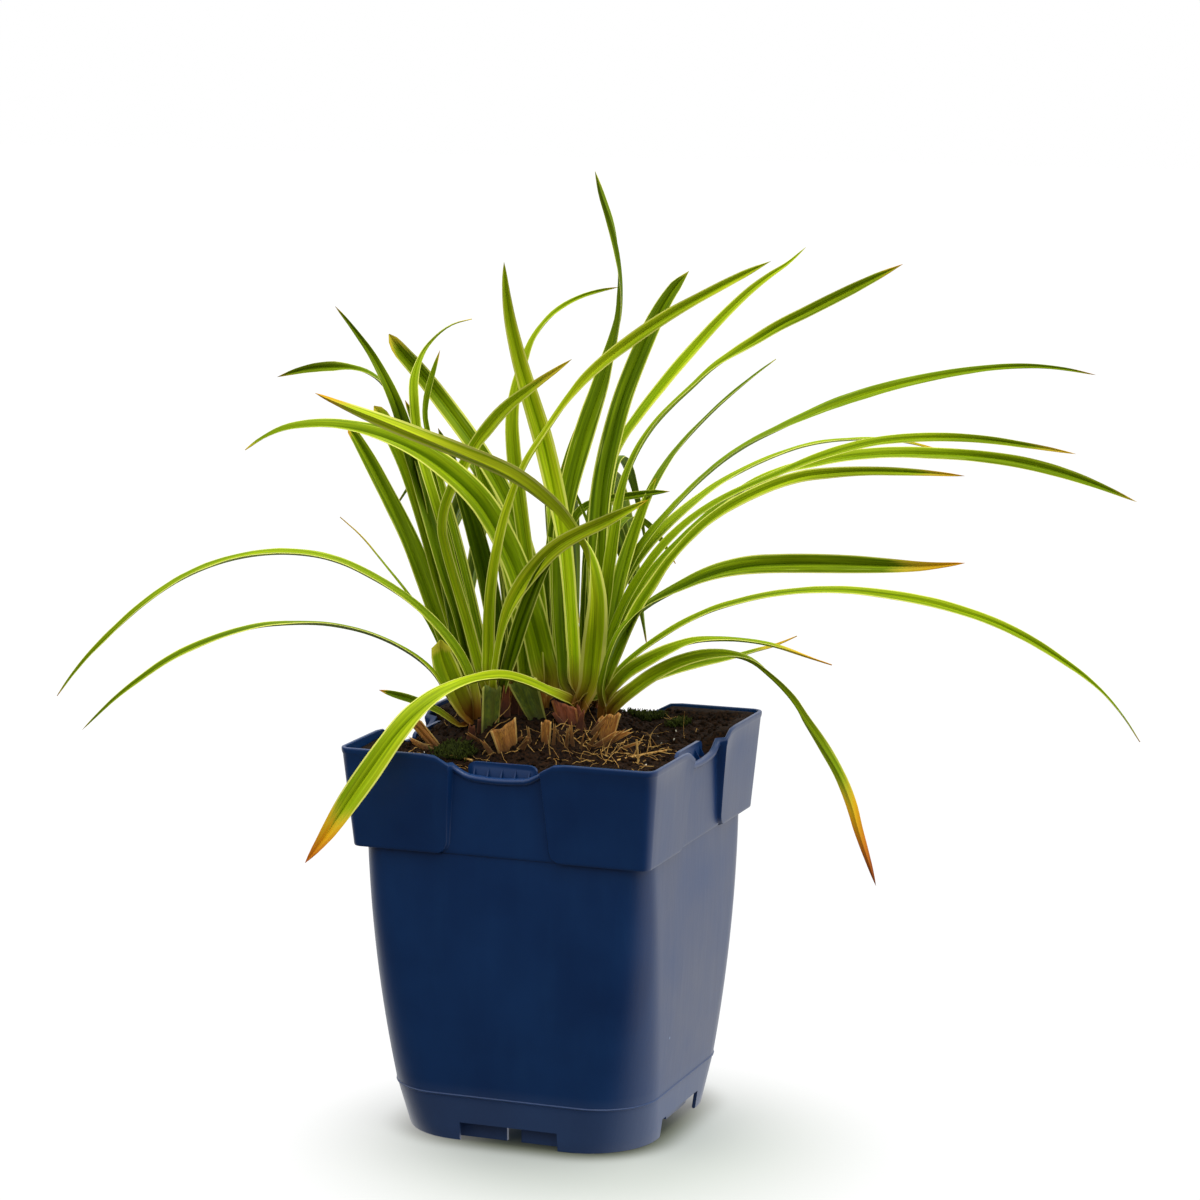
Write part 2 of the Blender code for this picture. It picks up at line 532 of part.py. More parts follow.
def pot_shell():
    """The pot's wall and floor, from the middle of the floor's underside, over the rim and down inside."""
    skirt_half, skirt_corner = BASE_HALF - WALL, BASE_CORNER - WALL
    band_half, band_corner = body_half(FOOT_BAND_Z)
    floor_top = FLOOR_Z + FLOOR_THICKNESS
    middle_z = (COLLAR_Z + POT_HEIGHT) / 2
    lip_z = POT_HEIGHT - LIP_HEIGHT
    rings = [
        pot_ring(FLOOR_Z, skirt_half + FOOT_FLARE * FLOOR_Z / FOOT_BAND_Z, skirt_corner),
        pot_ring(0.0, skirt_half, skirt_corner),
        pot_ring(0.0, BASE_HALF, BASE_CORNER),
        pot_ring(FOOT_BAND_Z - FOOT_STEP, band_half + FOOT_STEP, band_corner),
    ]
    rings += [body_ring(z, 0.0) for z in (FOOT_BAND_Z + 2 * FOOT_STEP, *BODY_LEVELS, COLLAR_Z)]
    rings += [collar_ring(COLLAR_Z + rise, 0.0) for rise in (0.05, PANEL_CORNER / 3, PANEL_CORNER)]
    rings.append(collar_ring(middle_z, 0.0))
    rings += [
        collar_ring(lip_z, 0.0, 1.0),
        collar_ring(lip_z + 0.5, 0.0, 1.0, LIP_PROUD),
        collar_ring(POT_HEIGHT - 0.5, 0.0, 1.0, LIP_PROUD),
        collar_ring(POT_HEIGHT, 0.4, 1.0, LIP_PROUD),
        collar_ring(POT_HEIGHT, WALL, 1.0),
    ]
    rings += [collar_ring(z, WALL) for z in (middle_z, COLLAR_Z + PANEL_CORNER + WALL, COLLAR_Z + WALL)]
    rings += [body_ring(z, WALL) for z in (COLLAR_Z + 0.2, *BODY_LEVELS[::-1])]
    rings.append(pot_ring(floor_top, skirt_half + FOOT_FLARE, skirt_corner))
    return loft("pot", rings, make_material("moulded_blue_plastic", "#14305C", 0.38))


def pot_cutters():
    """The notches in the foot and the drain holes."""
    cutters = []
    for turn in range(4):
        low = (-NOTCH_WIDTH / 2, -BASE_HALF - 4.0, -1.0)
        high = (NOTCH_WIDTH / 2, -BASE_HALF + WALL + 3.0, NOTCH_HEIGHT)
        cutters.append(box("notch_cutter", low, high, turn))
    for i in range(DRAIN_COUNT):
        angle = 2 * math.pi * (i + 0.5) / DRAIN_COUNT
        centre = (DRAIN_RING_RADIUS * math.cos(angle), DRAIN_RING_RADIUS * math.sin(angle))
        low, high = (*centre, FLOOR_Z - 1.0), (*centre, FLOOR_Z + FLOOR_THICKNESS + 1.0)
        cutters.append(tube_between("drain_cutter", low, high, DRAIN_RADIUS, 12))
    return cutters


def corner_rib(turn):
    """A rib under the floor that follows one corner of the skirt, from slot to slot."""
    half, corner = BASE_HALF - RIB_INSET, BASE_CORNER - RIB_INSET
    reach = half - corner
    outer, inner = [(RIB_SLOT_HALF, -half)], [(RIB_SLOT_HALF, -half + RIB_THICKNESS)]
    for i in range(7):
        angle = -math.pi / 2 + math.pi / 2 * i / 6
        outer.append((reach + corner * math.cos(angle), -reach + corner * math.sin(angle)))
        size = corner - RIB_THICKNESS
        inner.append((reach + size * math.cos(angle), -reach + size * math.sin(angle)))
    outer.append((half, -RIB_SLOT_HALF))
    inner.append((half - RIB_THICKNESS, -RIB_SLOT_HALF))
    outline = outer + inner[::-1]
    for _ in range(turn):
        outline = [(-y, x) for x, y in outline]
    size = len(outline)
    points = [(x, y, z) for z in (0.0, FLOOR_Z + 0.5) for x, y in outline]
    faces = [(i, (i + 1) % size, size + (i + 1) % size, size + i) for i in range(size)]
    faces += [tuple(range(size))[::-1], tuple(range(size, 2 * size))]
    return make_object("corner_rib", points, faces)


def label_pocket(turn):
    """The plate behind a panel's dip and the ribs that carry it."""
    half, _ = collar_half(POCKET_TOP_Z)
    wall_y = -(half - panel_recess(POCKET_TOP_Z) - WALL)
    low_half, _ = collar_half(POCKET_BOTTOM_Z)
    sunk_y = -(low_half - panel_recess(POCKET_BOTTOM_Z) - 0.5 * WALL)
    plate_y = wall_y + POCKET_GAP
    back_y = plate_y + WALL
    pieces = [
        box("pocket_plate", (-POCKET_HALF, plate_y, POCKET_BOTTOM_Z),
            (POCKET_HALF, back_y, POCKET_TOP_Z), turn),
        box("pocket_floor", (-POCKET_HALF + 0.2, sunk_y, POCKET_BOTTOM_Z + 0.2),
            (POCKET_HALF - 0.2, plate_y + 0.5, POCKET_BOTTOM_Z + WALL), turn),
    ]
    end = POCKET_HALF - 0.7
    for along in (-end, -POCKET_RIB_SPACING, 0.0, POCKET_RIB_SPACING, end):
        low = (along - POCKET_RIB_HALF, sunk_y, POCKET_BOTTOM_Z + 0.4)
        high = (along + POCKET_RIB_HALF, plate_y + 0.6, POT_HEIGHT - DIP_DEPTH - LIP_HEIGHT)
        pieces.append(box("pocket_rib", low, high, turn))
    return pieces


def make_pot():
    pot = pot_shell()
    apply_boolean(pot, "DIFFERENCE", pot_cutters())
    ribs = [corner_rib(turn) for turn in range(4)]
    ribs.append(tube_between("floor_stud", (0, 0, 0), (0, 0, FLOOR_Z + 0.5), STUD_RADIUS, 20))
    for turn in range(4):
        ribs += label_pocket(turn)
    apply_boolean(pot, "UNION", ribs)
    return pot


def level_place(across, toward):
    """The X and Y of a place on the peat given across the board and level towards the viewer."""
    x = across * math.cos(VIEW_TURN) + toward * math.sin(VIEW_TURN)
    return x, across * math.sin(VIEW_TURN) - toward * math.cos(VIEW_TURN)


def soil_height(x, y):
    """The peat's height: level near the wall, higher round the crown."""
    middle_x, middle_y = level_place(*SOIL_CROWN)
    distance = math.hypot(x - middle_x, y - middle_y) / SOIL_CROWN_SPREAD
    return SOIL_EDGE_Z + (SOIL_CROWN_Z - SOIL_EDGE_Z) * math.exp(-(distance**4))


def peat_top(edge):
    """Scattered points over the peat, a little uneven, and the triangles between them and the edge ring."""
    draw = random.Random(7)
    points = []
    count = round(2 * SOIL_TOP_HALF / SOIL_TOP_STEP)
    for row in range(count + 1):
        for column in range(count + 1):
            x = column * SOIL_TOP_STEP - SOIL_TOP_HALF + draw.uniform(-1, 1) * SOIL_SCATTER
            y = row * SOIL_TOP_STEP - SOIL_TOP_HALF + draw.uniform(-1, 1) * SOIL_SCATTER
            points.append((x, y, soil_height(x, y) + draw.uniform(-1, 1) * SOIL_ROUGHNESS))
    flat = [Vector(point[:2]) for point in edge + points]
    faces = delaunay_2d_cdt(flat, [], [list(range(len(edge)))], 1, 1e-5)[2]
    return points, faces


def make_soil(holes):
    """Peat that fills the pot, with its rough top and a plain hole for each thing that stands in it."""
    inset = WALL + GAP
    floor = FLOOR_Z + FLOOR_THICKNESS + GAP
    rings = [pot_ring(floor, BASE_HALF + FOOT_FLARE - inset, BASE_CORNER - inset)]
    rings += [body_ring(z, inset) for z in (*BODY_LEVELS, COLLAR_Z + 0.2)]
    rings += [collar_ring(z + WALL, inset + GAP) for z in (COLLAR_Z + GAP, COLLAR_Z + PANEL_CORNER)]
    rings.append(collar_ring(SOIL_EDGE_Z, inset))
    soil = loft("soil", rings, make_material("peat", "#1C120C", 0.95), peat_top(rings[-1]))
    pocket_y = -(RIM_HALF - PANEL_RECESS_TOP - WALL) + POCKET_GAP + WALL + 2 * GAP
    cutters = list(holes)
    for turn in range(4):
        low = (-POCKET_HALF - GAP, -RIM_HALF, POCKET_BOTTOM_Z - GAP)
        cutters.append(box("pocket_clearance", low, (POCKET_HALF + GAP, pocket_y, POT_HEIGHT), turn))
    apply_boolean(soil, "DIFFERENCE", cutters)
    keep_outer_skin(soil)
    return soil


def on_board(x, y, toward):
    """The place that the viewer sees at a point of the picture, a distance in front of the board."""
    across = VIEW_AIM[0] + (x - PICTURE_MIDDLE) * PICTURE_STEP
    up = VIEW_AIM[1] + (PICTURE_MIDDLE - y) * PICTURE_STEP
    flat = BOARD_ORIGIN + ACROSS * across + UPWARD * up
    return flat + (EYE - flat) * (toward / VIEW_DISTANCE)


def smooth_route(points, count):
    """Places at even steps along a smooth curve through the given points."""
    points = np.array(points, float)
    padded = np.vstack([2 * points[0] - points[1], points, 2 * points[-1] - points[-2]])
    fine = []
    for i in range(1, len(padded) - 2):
        before, start, end, after = padded[i - 1 : i + 3]
        for step in range(12):
            t = step / 12
            fine.append(0.5 * (
                2 * start
                + (end - before) * t
                + (2 * before - 5 * start + 4 * end - after) * t**2
                + (3 * start - before - 3 * end + after) * t**3
            ))
    fine.append(points[-1])
    return at_even_steps(np.array(fine), count)


def at_even_steps(places, count):
    steps = np.linalg.norm(np.diff(places[:, :3], axis=0), axis=1)
    lengths = np.concatenate([[0.0], np.cumsum(steps)])
    wanted = np.linspace(0.0, lengths[-1], count)
    return np.stack([np.interp(wanted, lengths, places[:, i]) for i in range(places.shape[1])], axis=1)


def unit(vectors):
    return vectors / np.linalg.norm(vectors, axis=-1, keepdims=True)


def directions(places):
    return unit(np.gradient(places, axis=0))


def spread(values, count):
    """A few values at even steps, read at more even steps with no corner at the given ones."""
    given = np.linspace(0.0, 1.0, len(values))
    wanted = np.linspace(0.0, 1.0, count)
    return soften(soften(np.interp(wanted, given, values)))


def soften(values):
    """A row of values with each one averaged with its neighbours."""
    padded = np.concatenate([values[:1], values, values[-1:]])
    return (padded[:-2] + padded[1:-1] + padded[2:]) / 3


def turned_sides(along, plain, degrees, sign):
    """The direction from a blade's middle to its edge: a plain one, turned about the blade's length."""
    plain = unit(plain - along * np.sum(along * plain, axis=1, keepdims=True))
    normal = np.cross(along, plain)
    angles = np.radians(degrees)[:, None]
    return np.cos(angles) * plain - sign * np.sin(angles) * normal


def root_of(shoot, order):
    """Where a leaf starts inside its shoot's sheath, each one round the middle from the last."""
    x, y = level_place(*SHOOTS[shoot])
    way = np.array([math.cos(ROOT_SPIRAL * order), math.sin(ROOT_SPIRAL * order), 0.0])
    base = np.array([x, y, soil_height(x, y)]) + ROOT_OFFSET * way
    return [base + [0, 0, level] for level in ROOT_LEVELS]


def drawn_leaf(order, shoot, width, toward, route):
    start, clasp = root_of(shoot, order)
    depth = (start - BOARD_ORIGIN) @ TOWARD
    depths = spread((depth, *toward), len(route) + 1)[1:]
    if route[0][1] > LOW_LEAF:
        clasp = start + (clasp - start) * LOW_CLASP
    points = [start, clasp] + [on_board(x, y, level) for (x, y, _), level in zip(route, depths)]
    shown = [route[0][2] * share for share in ROOT_SHOWN] + [point[2] for point in route]
    path = smooth_route([(*point, size * PICTURE_STEP) for point, size in zip(points, shown)], CONTROL_STATIONS)
    places, shown = path[:, :3], path[:, 3]
    full = [width * blade_profile(share) for share in np.linspace(0.0, 1.0, CONTROL_STATIONS)]
    widths = np.maximum(full, np.abs(shown))
    turns = np.degrees(np.arccos(shown / widths))
    turns[:2], turns[-2:] = turns[2], turns[-3]
    along = directions(places)
    sign = 1.0 if route[-1][0] > route[0][0] else -1.0
    sides = turned_sides(along, np.cross(EYE - places, along), soften(turns), sign)
    return {"shoot": shoot, "widths": widths, "places": places, "sides": sides}


def hidden_leaf(order, draw, shoot, heading, reach, rise, tip):
    """A leaf that arches over in one upright plane, with a little sway and twist."""
    start, clasp = root_of(shoot, order)
    out = np.array([math.cos(math.radians(heading)), math.sin(math.radians(heading)), 0.0])
    side = np.array([-out[1], out[0], 0.0])
    sway = draw.uniform(-HIDDEN_SWAY, HIDDEN_SWAY)
    end_height = POT_HEIGHT + tip - clasp[2]
    points = [start]
    for step in range(8):
        t = step / 7
        level = 2 * t * (1 - t) * HIDDEN_BOW[0] * reach + t**2 * reach
        height = 2 * t * (1 - t) * HIDDEN_BOW[1] * rise + t**2 * end_height
        points.append(clasp + out * level + side * sway * t**2 + np.array([0, 0, height]))
    places = smooth_route(points, CONTROL_STATIONS)
    along = directions(places)
    degrees = spread([draw.uniform(-most, most) for most in HIDDEN_TURNS], CONTROL_STATIONS)
    plain = np.tile(side, (CONTROL_STATIONS, 1))
    sides = turned_sides(along, plain, degrees, 1.0)
    width = draw.uniform(*HIDDEN_WIDTH)
    widths = np.array([width * blade_profile(share) for share in np.linspace(0.0, 1.0, CONTROL_STATIONS)])
    return {"shoot": shoot, "widths": widths, "places": places, "sides": sides}


def blade_profile(share):
    """A blade's width along its length, as a share of its full width."""
    swell = ROOT_WIDTH + (1 - ROOT_WIDTH) * smooth_step(share / FULL_WIDTH_AT)
    taper = max(0.0, (share - TAPER_FROM) / (1 - TAPER_FROM)) ** TAPER_POWER
    return max(TIP_WIDTH, swell * (1 - taper))


def ribbon_tree(leaf):
    """A blade a little thicker than life, for finding where leaves cross."""
    places, sides = leaf["places"], leaf["sides"]
    normals = np.cross(directions(places), sides)
    points = []
    for place, side, normal, width in zip(places, sides, normals, leaf["widths"]):
        half = width / 2 + CLEAR_EDGE
        for across, out in ((-1, -1), (1, -1), (1, 1), (-1, 1)):
            points.append(place + side * across * half + normal * out * CLEARANCE)
    faces = []
    for i in range(CONTROL_STATIONS - 1):
        for j in range(4):
            k = (j + 1) % 4
            faces.append((4 * i + j, 4 * i + k, 4 * i + 4 + k, 4 * i + 4 + j))
    return BVHTree.FromPolygons([tuple(point) for point in points], faces)


def bend_clear(leaves):
    """Bends leaves of different shoots apart where they cross: the one in front comes forward and the other
    goes back, along the viewer's line of sight. Their roots stay in their sheaths."""
    stations = np.arange(CONTROL_STATIONS)
    held = np.clip(stations / 4 - 0.25, 0, 1)
    for _ in range(CLEAR_ROUNDS):
        trees = [ribbon_tree(leaf) for leaf in leaves]
        pushes = np.zeros((len(leaves), CONTROL_STATIONS))
        for i, first in enumerate(leaves):
            for j in range(i + 1, len(leaves)):
                second = leaves[j]
                if first["shoot"] == second["shoot"]:
                    continue
                hits = {(a // 4, b // 4) for a, b in trees[i].overlap(trees[j])}
                for a, b in sorted(hits):
                    gap = (first["places"][a] - second["places"][b]) @ TOWARD
                    push = CLEAR_PUSH / len(hits) * (1 if gap >= 0 else -1)
                    pushes[i] += push * np.exp(-(((stations - a) / CLEAR_SPREAD) ** 2)) * held
                    pushes[j] -= push * np.exp(-(((stations - b) / CLEAR_SPREAD) ** 2)) * held
        if not pushes.any():
            return
        for leaf, push in zip(leaves, pushes):
            leaf["places"] = leaf["places"] + unit(EYE - leaf["places"]) * push[:, None]


def blade(leaf):
    """One leaf as a thin closed strip, folded along its keel, cut into triangles alike on both faces."""
    places, sides = leaf["places"], leaf["sides"]
    length = np.linalg.norm(np.diff(places, axis=0), axis=1).sum()
    count = max(4, min(MOST_STATIONS, round(length / STATION_STEP) + 1))
    places = at_even_steps(places, count)
    shares = np.linspace(0.0, 1.0, count)
    controls = np.linspace(0.0, 1.0, CONTROL_STATIONS)
    sides = np.stack([np.interp(shares, controls, sides[:, i]) for i in range(3)], axis=1)
    along = directions(places)
    sides = unit(sides - along * np.sum(along * sides, axis=1, keepdims=True))
    normals = np.cross(along, sides)
    points = []
    halves = np.interp(shares, controls, leaf["widths"]) / 2
    for place, side, normal, half in zip(places, sides, normals, halves):
        fold = half * BLADE_FOLD
        for out in (BLADE_THICKNESS / 2, -BLADE_THICKNESS / 2):
            points.append(place - side * half + normal * (fold + out))
            points.append(place + normal * (out - fold))
            points.append(place + side * half + normal * (fold + out))
    faces = []
    for i in range(count - 1):
        a, b = 6 * i, 6 * (i + 1)
        for left, right in ((0, 1), (1, 2)):
            faces += [(a + left, a + right, b + right), (a + left, b + right, b + left)]
            c, d = a + 3, b + 3
            faces += [(c + left, d + right, c + right), (c + left, d + left, d + right)]
        faces += [(a, b, b + 3), (a, b + 3, a + 3), (a + 2, a + 5, b + 5), (a + 2, b + 5, b + 2)]
    last = 6 * (count - 1)
    faces += [(0, 3, 4), (0, 4, 1), (1, 4, 5), (1, 5, 2)]
    faces += [(last, last + 4, last + 3), (last, last + 1, last + 4)]
    faces += [(last + 1, last + 5, last + 4), (last + 1, last + 2, last + 5)]
    return make_object("blade", points, faces)


def make_shoot(name, leaves, material):
    """A sheath that stands in the peat, joined with the leaves that grow from it."""
    x, y = level_place(*SHOOTS[name])
    ground = soil_height(x, y)
    foot, top = (x, y, ground - SHEATH_DEPTH), (x, y, ground + SHEATH_HEIGHT)
    shoot = tube_between(name, foot, top, SHEATH_RADIUS, SHEATH_SIDES, SHEATH_TOP_RADIUS)
    shoot.data.materials.append(material)
    apply_boolean(shoot, "UNION", [blade(leaf) for leaf in leaves])
    keep_outer_skin(shoot)
    return shoot


def shoot_hole(name):
    x, y = level_place(*SHOOTS[name])
    ground = soil_height(x, y)
    low, high = (x, y, ground - SHEATH_DEPTH - GAP), (x, y, ground + HOLE_RISE)
    return tube_between("shoot_hole", low, high, SHEATH_RADIUS + 2 * GAP, SHEATH_SIDES)


def stub_points(spec, grow):
    """The corners of a cut-back leaf's flat piece, or of the hole that it stands in."""
    across, toward, height, width, lean, turn = spec
    x, y = level_place(across, toward)
    ground = soil_height(x, y)
    angle = VIEW_TURN + math.radians(turn)
    side = np.array([math.cos(angle), math.sin(angle), 0.0])
    normal = np.array([-side[1], side[0], 0.0])
    lean_way = side * math.tan(math.radians(lean))
    base = np.array([x, y, ground])
    low, high = -STUB_DEPTH - grow, height + (STUB_HOLE_RISE if grow else 0.0)
    points = []
    for level in (low, high):
        size = STUB_FOOT + (1 - STUB_FOOT) * (level + STUB_DEPTH) / (height + STUB_DEPTH)
        for s, n in ((-1, -1), (1, -1), (1, 1), (-1, 1)):
            way = side * s * (width / 2 * size + grow) + normal * n * (STUB_THICKNESS / 2 + grow)
            top = level + (STUB_SLANT * s if level > 0 and not grow else 0.0)
            points.append(base + way + lean_way * (top + STUB_DEPTH) + np.array([0, 0, top]))
    return points


STUB_FACES = [(0, 3, 2, 1), (4, 5, 6, 7), (0, 1, 5, 4), (1, 2, 6, 5), (2, 3, 7, 6), (3, 0, 4, 7)]


def straw_ends(spec):
    """A straw lies half sunk in the peat's surface, or stands in it."""
    start, end, _, rise = spec
    start, end = level_place(*start), level_place(*end)
    depth = STRAW_DEPTH if rise > STRAW_DEPTH else 0.0
    return np.array([*start, soil_height(*start) - depth]), np.array([*end, soil_height(*end) + rise])


def make_litter(holes):
    """Cut stubs, dead sheaths and straw, each its own piece, with the cutter of its seat in the peat."""
    colours = {"green": "#6F8A2C", "broad": "#86983C", "tan": "#B08E58", "brown": "#7A3A22"}
    for name, spec in CUT_STUBS.items():
        colour = next(code for word, code in colours.items() if word in name)
        make_object(name, stub_points(spec, 0.0), STUB_FACES, make_material("dry_" + name, colour, 0.8))
        holes.append(make_object("stub_hole", stub_points(spec, GAP), STUB_FACES))
    straw = make_material("straw", "#B98A45", 0.85)
    for name, spec in STRAWS.items():
        radius = spec[2]
        start, end = straw_ends(spec)
        tube_between(name, start, end, radius, STRAW_SIDES).data.materials.append(straw)
        way = unit(end - start) * GAP
        holes.append(tube_between("straw_seat", start - way, end + way, radius + 1.5 * GAP, STRAW_SIDES))


def main():
    clear_scene()
    bpy.context.scene.unit_settings.system = "METRIC"
    make_pot()
    draw = random.Random(11)
    leaves = [drawn_leaf(order, *spec) for order, spec in enumerate(DRAWN_LEAVES)]
    leaves += [hidden_leaf(order, draw, *spec) for order, spec in enumerate(HIDDEN_LEAVES)]
    bend_clear(leaves)
    green = make_material("sedge_leaf", "#6F9018", 0.5)
    holes = []
    for name in SHOOTS:
        make_shoot(name, [leaf for leaf in leaves if leaf["shoot"] == name], green)
        holes.append(shoot_hole(name))
    make_litter(holes)
    make_soil(holes)


main()
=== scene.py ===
"""The looks of a potted japanese sedge: a tuft of variegated leaves in peat, in a tall square nursery pot.

Lengths are in millimetres in this script and become metres when a mesh is made. The frame's origin is the
middle of the pot's base, on the ground."""

import math
import random

import bmesh
import bpy
import numpy as np
from mathutils import Matrix, Vector, noise
from mathutils.bvhtree import BVHTree
from mathutils.geometry import delaunay_2d_cdt


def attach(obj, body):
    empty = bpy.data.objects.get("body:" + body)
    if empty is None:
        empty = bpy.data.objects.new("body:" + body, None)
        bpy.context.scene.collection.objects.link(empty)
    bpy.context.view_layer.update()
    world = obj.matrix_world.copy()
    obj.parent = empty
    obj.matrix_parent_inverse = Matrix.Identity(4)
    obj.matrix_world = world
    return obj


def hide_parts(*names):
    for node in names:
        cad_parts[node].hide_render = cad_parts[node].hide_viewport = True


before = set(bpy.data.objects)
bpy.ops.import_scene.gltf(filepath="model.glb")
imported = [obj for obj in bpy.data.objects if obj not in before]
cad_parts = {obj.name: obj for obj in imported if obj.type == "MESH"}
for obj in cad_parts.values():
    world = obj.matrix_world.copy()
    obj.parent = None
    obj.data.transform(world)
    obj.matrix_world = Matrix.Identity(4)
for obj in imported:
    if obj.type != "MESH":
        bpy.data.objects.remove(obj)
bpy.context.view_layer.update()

MM = 0.001
GAP = 0.3

# The viewer, as the photograph's camera stood: turned round from -Y, tipped up, and its distance
VIEW_TURN = math.radians(21.0)
VIEW_TIP = math.radians(9.7)
VIEW_DISTANCE = 1400.0
VIEW_AIM = (15.9, 46.6)
PICTURE_STEP = 0.365
PICTURE_MIDDLE = 600
LENS = 115.05
SENSOR = 36.0

# Stage: how far the middle of the floor's grey pool, a painted shadow pool that also takes the rendered
# shadow, lies towards the viewer and to the right of the pot, where it fades to white, how far the darkest
# painted shade reaches in under the foot and out past it, and how far the studio's dark side is turned to the
# viewer's left
SHADOW_SHIFT = 48.0
SHADOW_RIGHT = 14.0
SHADOW_FADE = (30.0, 135.0)
CONTACT_SHADE = (3.0, 14.0)
FLOOR_HALF = 6000.0
DARK_TURN = 0.75
KEY_PLACE = (0.3, -0.1, 1.9)
KEY_AIM = (0.0, 0.0, 0.2)
KEY_SIZE = 1.2
KEY_POWER = 16.0

# Pot: half widths of its square outline at each level, and the radius of the outline's corners there
POT_HEIGHT = 144.5
RIM_HALF = 60.0
RIM_CORNER = 4.5
COLLAR_Z = 108.0
COLLAR_HALF = 56.7
COLLAR_CORNER = 3.5
BODY_TOP_HALF = 54.8
BODY_TOP_CORNER = 11.0
FOOT_BAND_Z = 17.5
FOOT_BAND_HALF = 50.1
FOOT_BAND_CORNER = 22.0
BASE_HALF = 47.5
BASE_CORNER = 26.0
BODY_BULGE = 1.4
WALL = 1.3
EDGE_ROUND = 0.55
SEAM_PROUD = 0.35
FLOOR_Z = 8.0
FLOOR_THICKNESS = 1.6
SHARP_EDGE = math.radians(32)

# Levels of the pot's rings: up the foot and up the body; over the collar's lower edge, plain and then with a
# share of the rim's dip; and under the rim, as shares of the lip's height
FOOT_LEVELS = (0.6, 5.0, 9.5, 13.5)
BODY_RINGS = 18
BODY_LEVELS = (36.0, 56.0, 78.0)
COLLAR_RISES = (EDGE_ROUND, 1.3, 2.3, 3.4, 4.5, 7.0, 11.0, 15.0)
DIPPING_RISES = ((19.0, 0.25), (23.5, 0.5), (28.0, 0.75))
LIP_LEVELS = (1.05, 0.97, 0.85, 0.68, 0.5, 0.32, 0.15)

# The recessed panel of each side, the dip of the rim over it, its rolled lip and the label pocket behind
PANEL_TOP_HALF = 16.5
PANEL_BOTTOM_HALF = 19.0
PANEL_CORNER = 4.5
PANEL_SLOPE_WIDTH = 0.9
PANEL_RECESS_TOP = 3.6
PANEL_RECESS_BOTTOM = 1.3
DIP_FLAT = 5.8
DIP_BOW = 1.6
DIP_FLAT_HALF = 10.0
DIP_HALF = 25.0
LIP_HEIGHT = 2.4
LIP_ROLL = 1.0
LIP_LINE = 0.2
POCKET_HALF = 13.0
POCKET_GAP = 3.2
POCKET_BOTTOM_Z = 127.0
POCKET_TOP_Z = 141.4
POCKET_CORNER = (3.0, 2.0)
POCKET_RIB_SPACING = 5.2
POCKET_RIB_HALF = 0.25
POCKET_RIB_DROP = 1.2
POCKET_RIB_FRONT_Z = 133.5
POCKET_KEPT_CLEAR = (8.0, 5.5)

# Foot: a notch in the middle of each side, a rib behind it, drain holes in the floor and a stud under it
NOTCH_WIDTH = 38.0
NOTCH_HEIGHT = 7.0
RIB_INSET = 5.5
RIB_THICKNESS = 1.6
RIB_SLOT_HALF = 2.8
DRAIN_COUNT = 8
DRAIN_RADIUS = 4.0
DRAIN_RING_RADIUS = 27.0
STUD_RADIUS = 7.0
SUNK = 0.5

# Peat
SOIL_EDGE_Z = 133.5
SOIL_CROWN = (-6.0, -12.0)
SOIL_CROWN_Z = 144.5
SOIL_CROWN_SPREAD = 33.0
HEAP_FRONT = 2.5
HEAP_BACK = 7.5
HEAP_REACH = 70.0
HEAP_SLOPE = 7.0
EDGE_RISE = 1.6
# At the corners the dark peat rises to cover inner wall that lies in shade, standing in for that shade
EDGE_RISE_CORNER = 6.5
EDGE_RISE_BACK = 2.0
PEAT_STEP = 1.25
PEAT_SCATTER = 0.35
PEAT_HALF = 54.0
PATCH_STEP = 2.0
# Clods and hollows: how fine, how rough, how much each level of detail adds, their number, height and a shift
PEAT_NOISE = (
    (0.09, 0.9, 2.0, 3, 1.1, (0, 0, 0)),
    (0.34, 0.8, 2.1, 3, 0.75, (7, 3, 0)),
    (1.1, 0.7, 2.0, 2, 0.3, (1, 9, 0)),
)
# What is strewn on it: the form, number per square metre, smallest and largest size, tilt in radians, lumps
# in metres, seed and stuff
STREWN = {
    "peat_crumbs": ("crumb", 150000.0, 0.25, 1.25, 6.0, 0.0006, 3, "peat"),
    "perlite_grit": ("crumb", 3500.0, 0.2, 0.55, 6.0, 0.0004, 8, "grit"),
    "moss_tufts": ("leaflet", 9000000.0, 0.6, 1.5, 0.9, 0.0003, 4, "moss"),
}
# Tufts of moss: across and level towards the viewer, and radius
MOSS_TUFTS = [((-38.0, 14.0), 6.5), ((-33.0, 19.0), 4.0), ((33.0, -34.0), 7.0), ((45.0, -22.0), 4.0)]
MOSS_LIFT = 0.3
# A moss leaflet's rows: how far out, how high and half as wide
LEAFLET_ROWS = [(0.0, 0.0, 0.12), (0.35, 0.45, 0.3), (0.75, 1.0, 0.26), (1.0, 1.7, 0.03)]
LEAFLET_HOLLOW = (0.16, -0.06)

# Leaves
BLADE_FOLD = 0.22
ROOT_WIDTH = 0.6
FULL_WIDTH_AT = 0.2
TAPER_FROM = 0.45
TAPER_POWER = 2.0
CONTROL_STATIONS = 24
ROOT_SPIRAL = math.radians(137.5)
ROOT_OFFSET = 1.2
ROOT_LEVELS = (2.0, 10.0)
ROOT_SHOWN = (0.5, 0.75)
LOW_LEAF = 695
LOW_CLASP = 0.4
CLEARANCE = 1.15
CLEAR_EDGE = 0.5
CLEAR_PUSH = 0.9
CLEAR_SPREAD = 2.5
CLEAR_ROUNDS = 110
LEAF_STEP = 2.6
LEAF_COLUMNS = 11
FEWEST_ROWS = 14
LEAF_THICKNESS = 0.42
LEAF_PLEAT = 0.13
LEAF_RIPPLE = 0.9
LEAF_EDGE = math.radians(60)
TIP_WIDTH = 0.09
TIP_SHARE = 0.03
TIP_BLUNT = 0.02
# How much more a blade is folded at its root and at its tip, and over which share of the length
ROOT_FOLD = (1.6, 0.14)
TIP_FOLD = (0.9, 0.3)

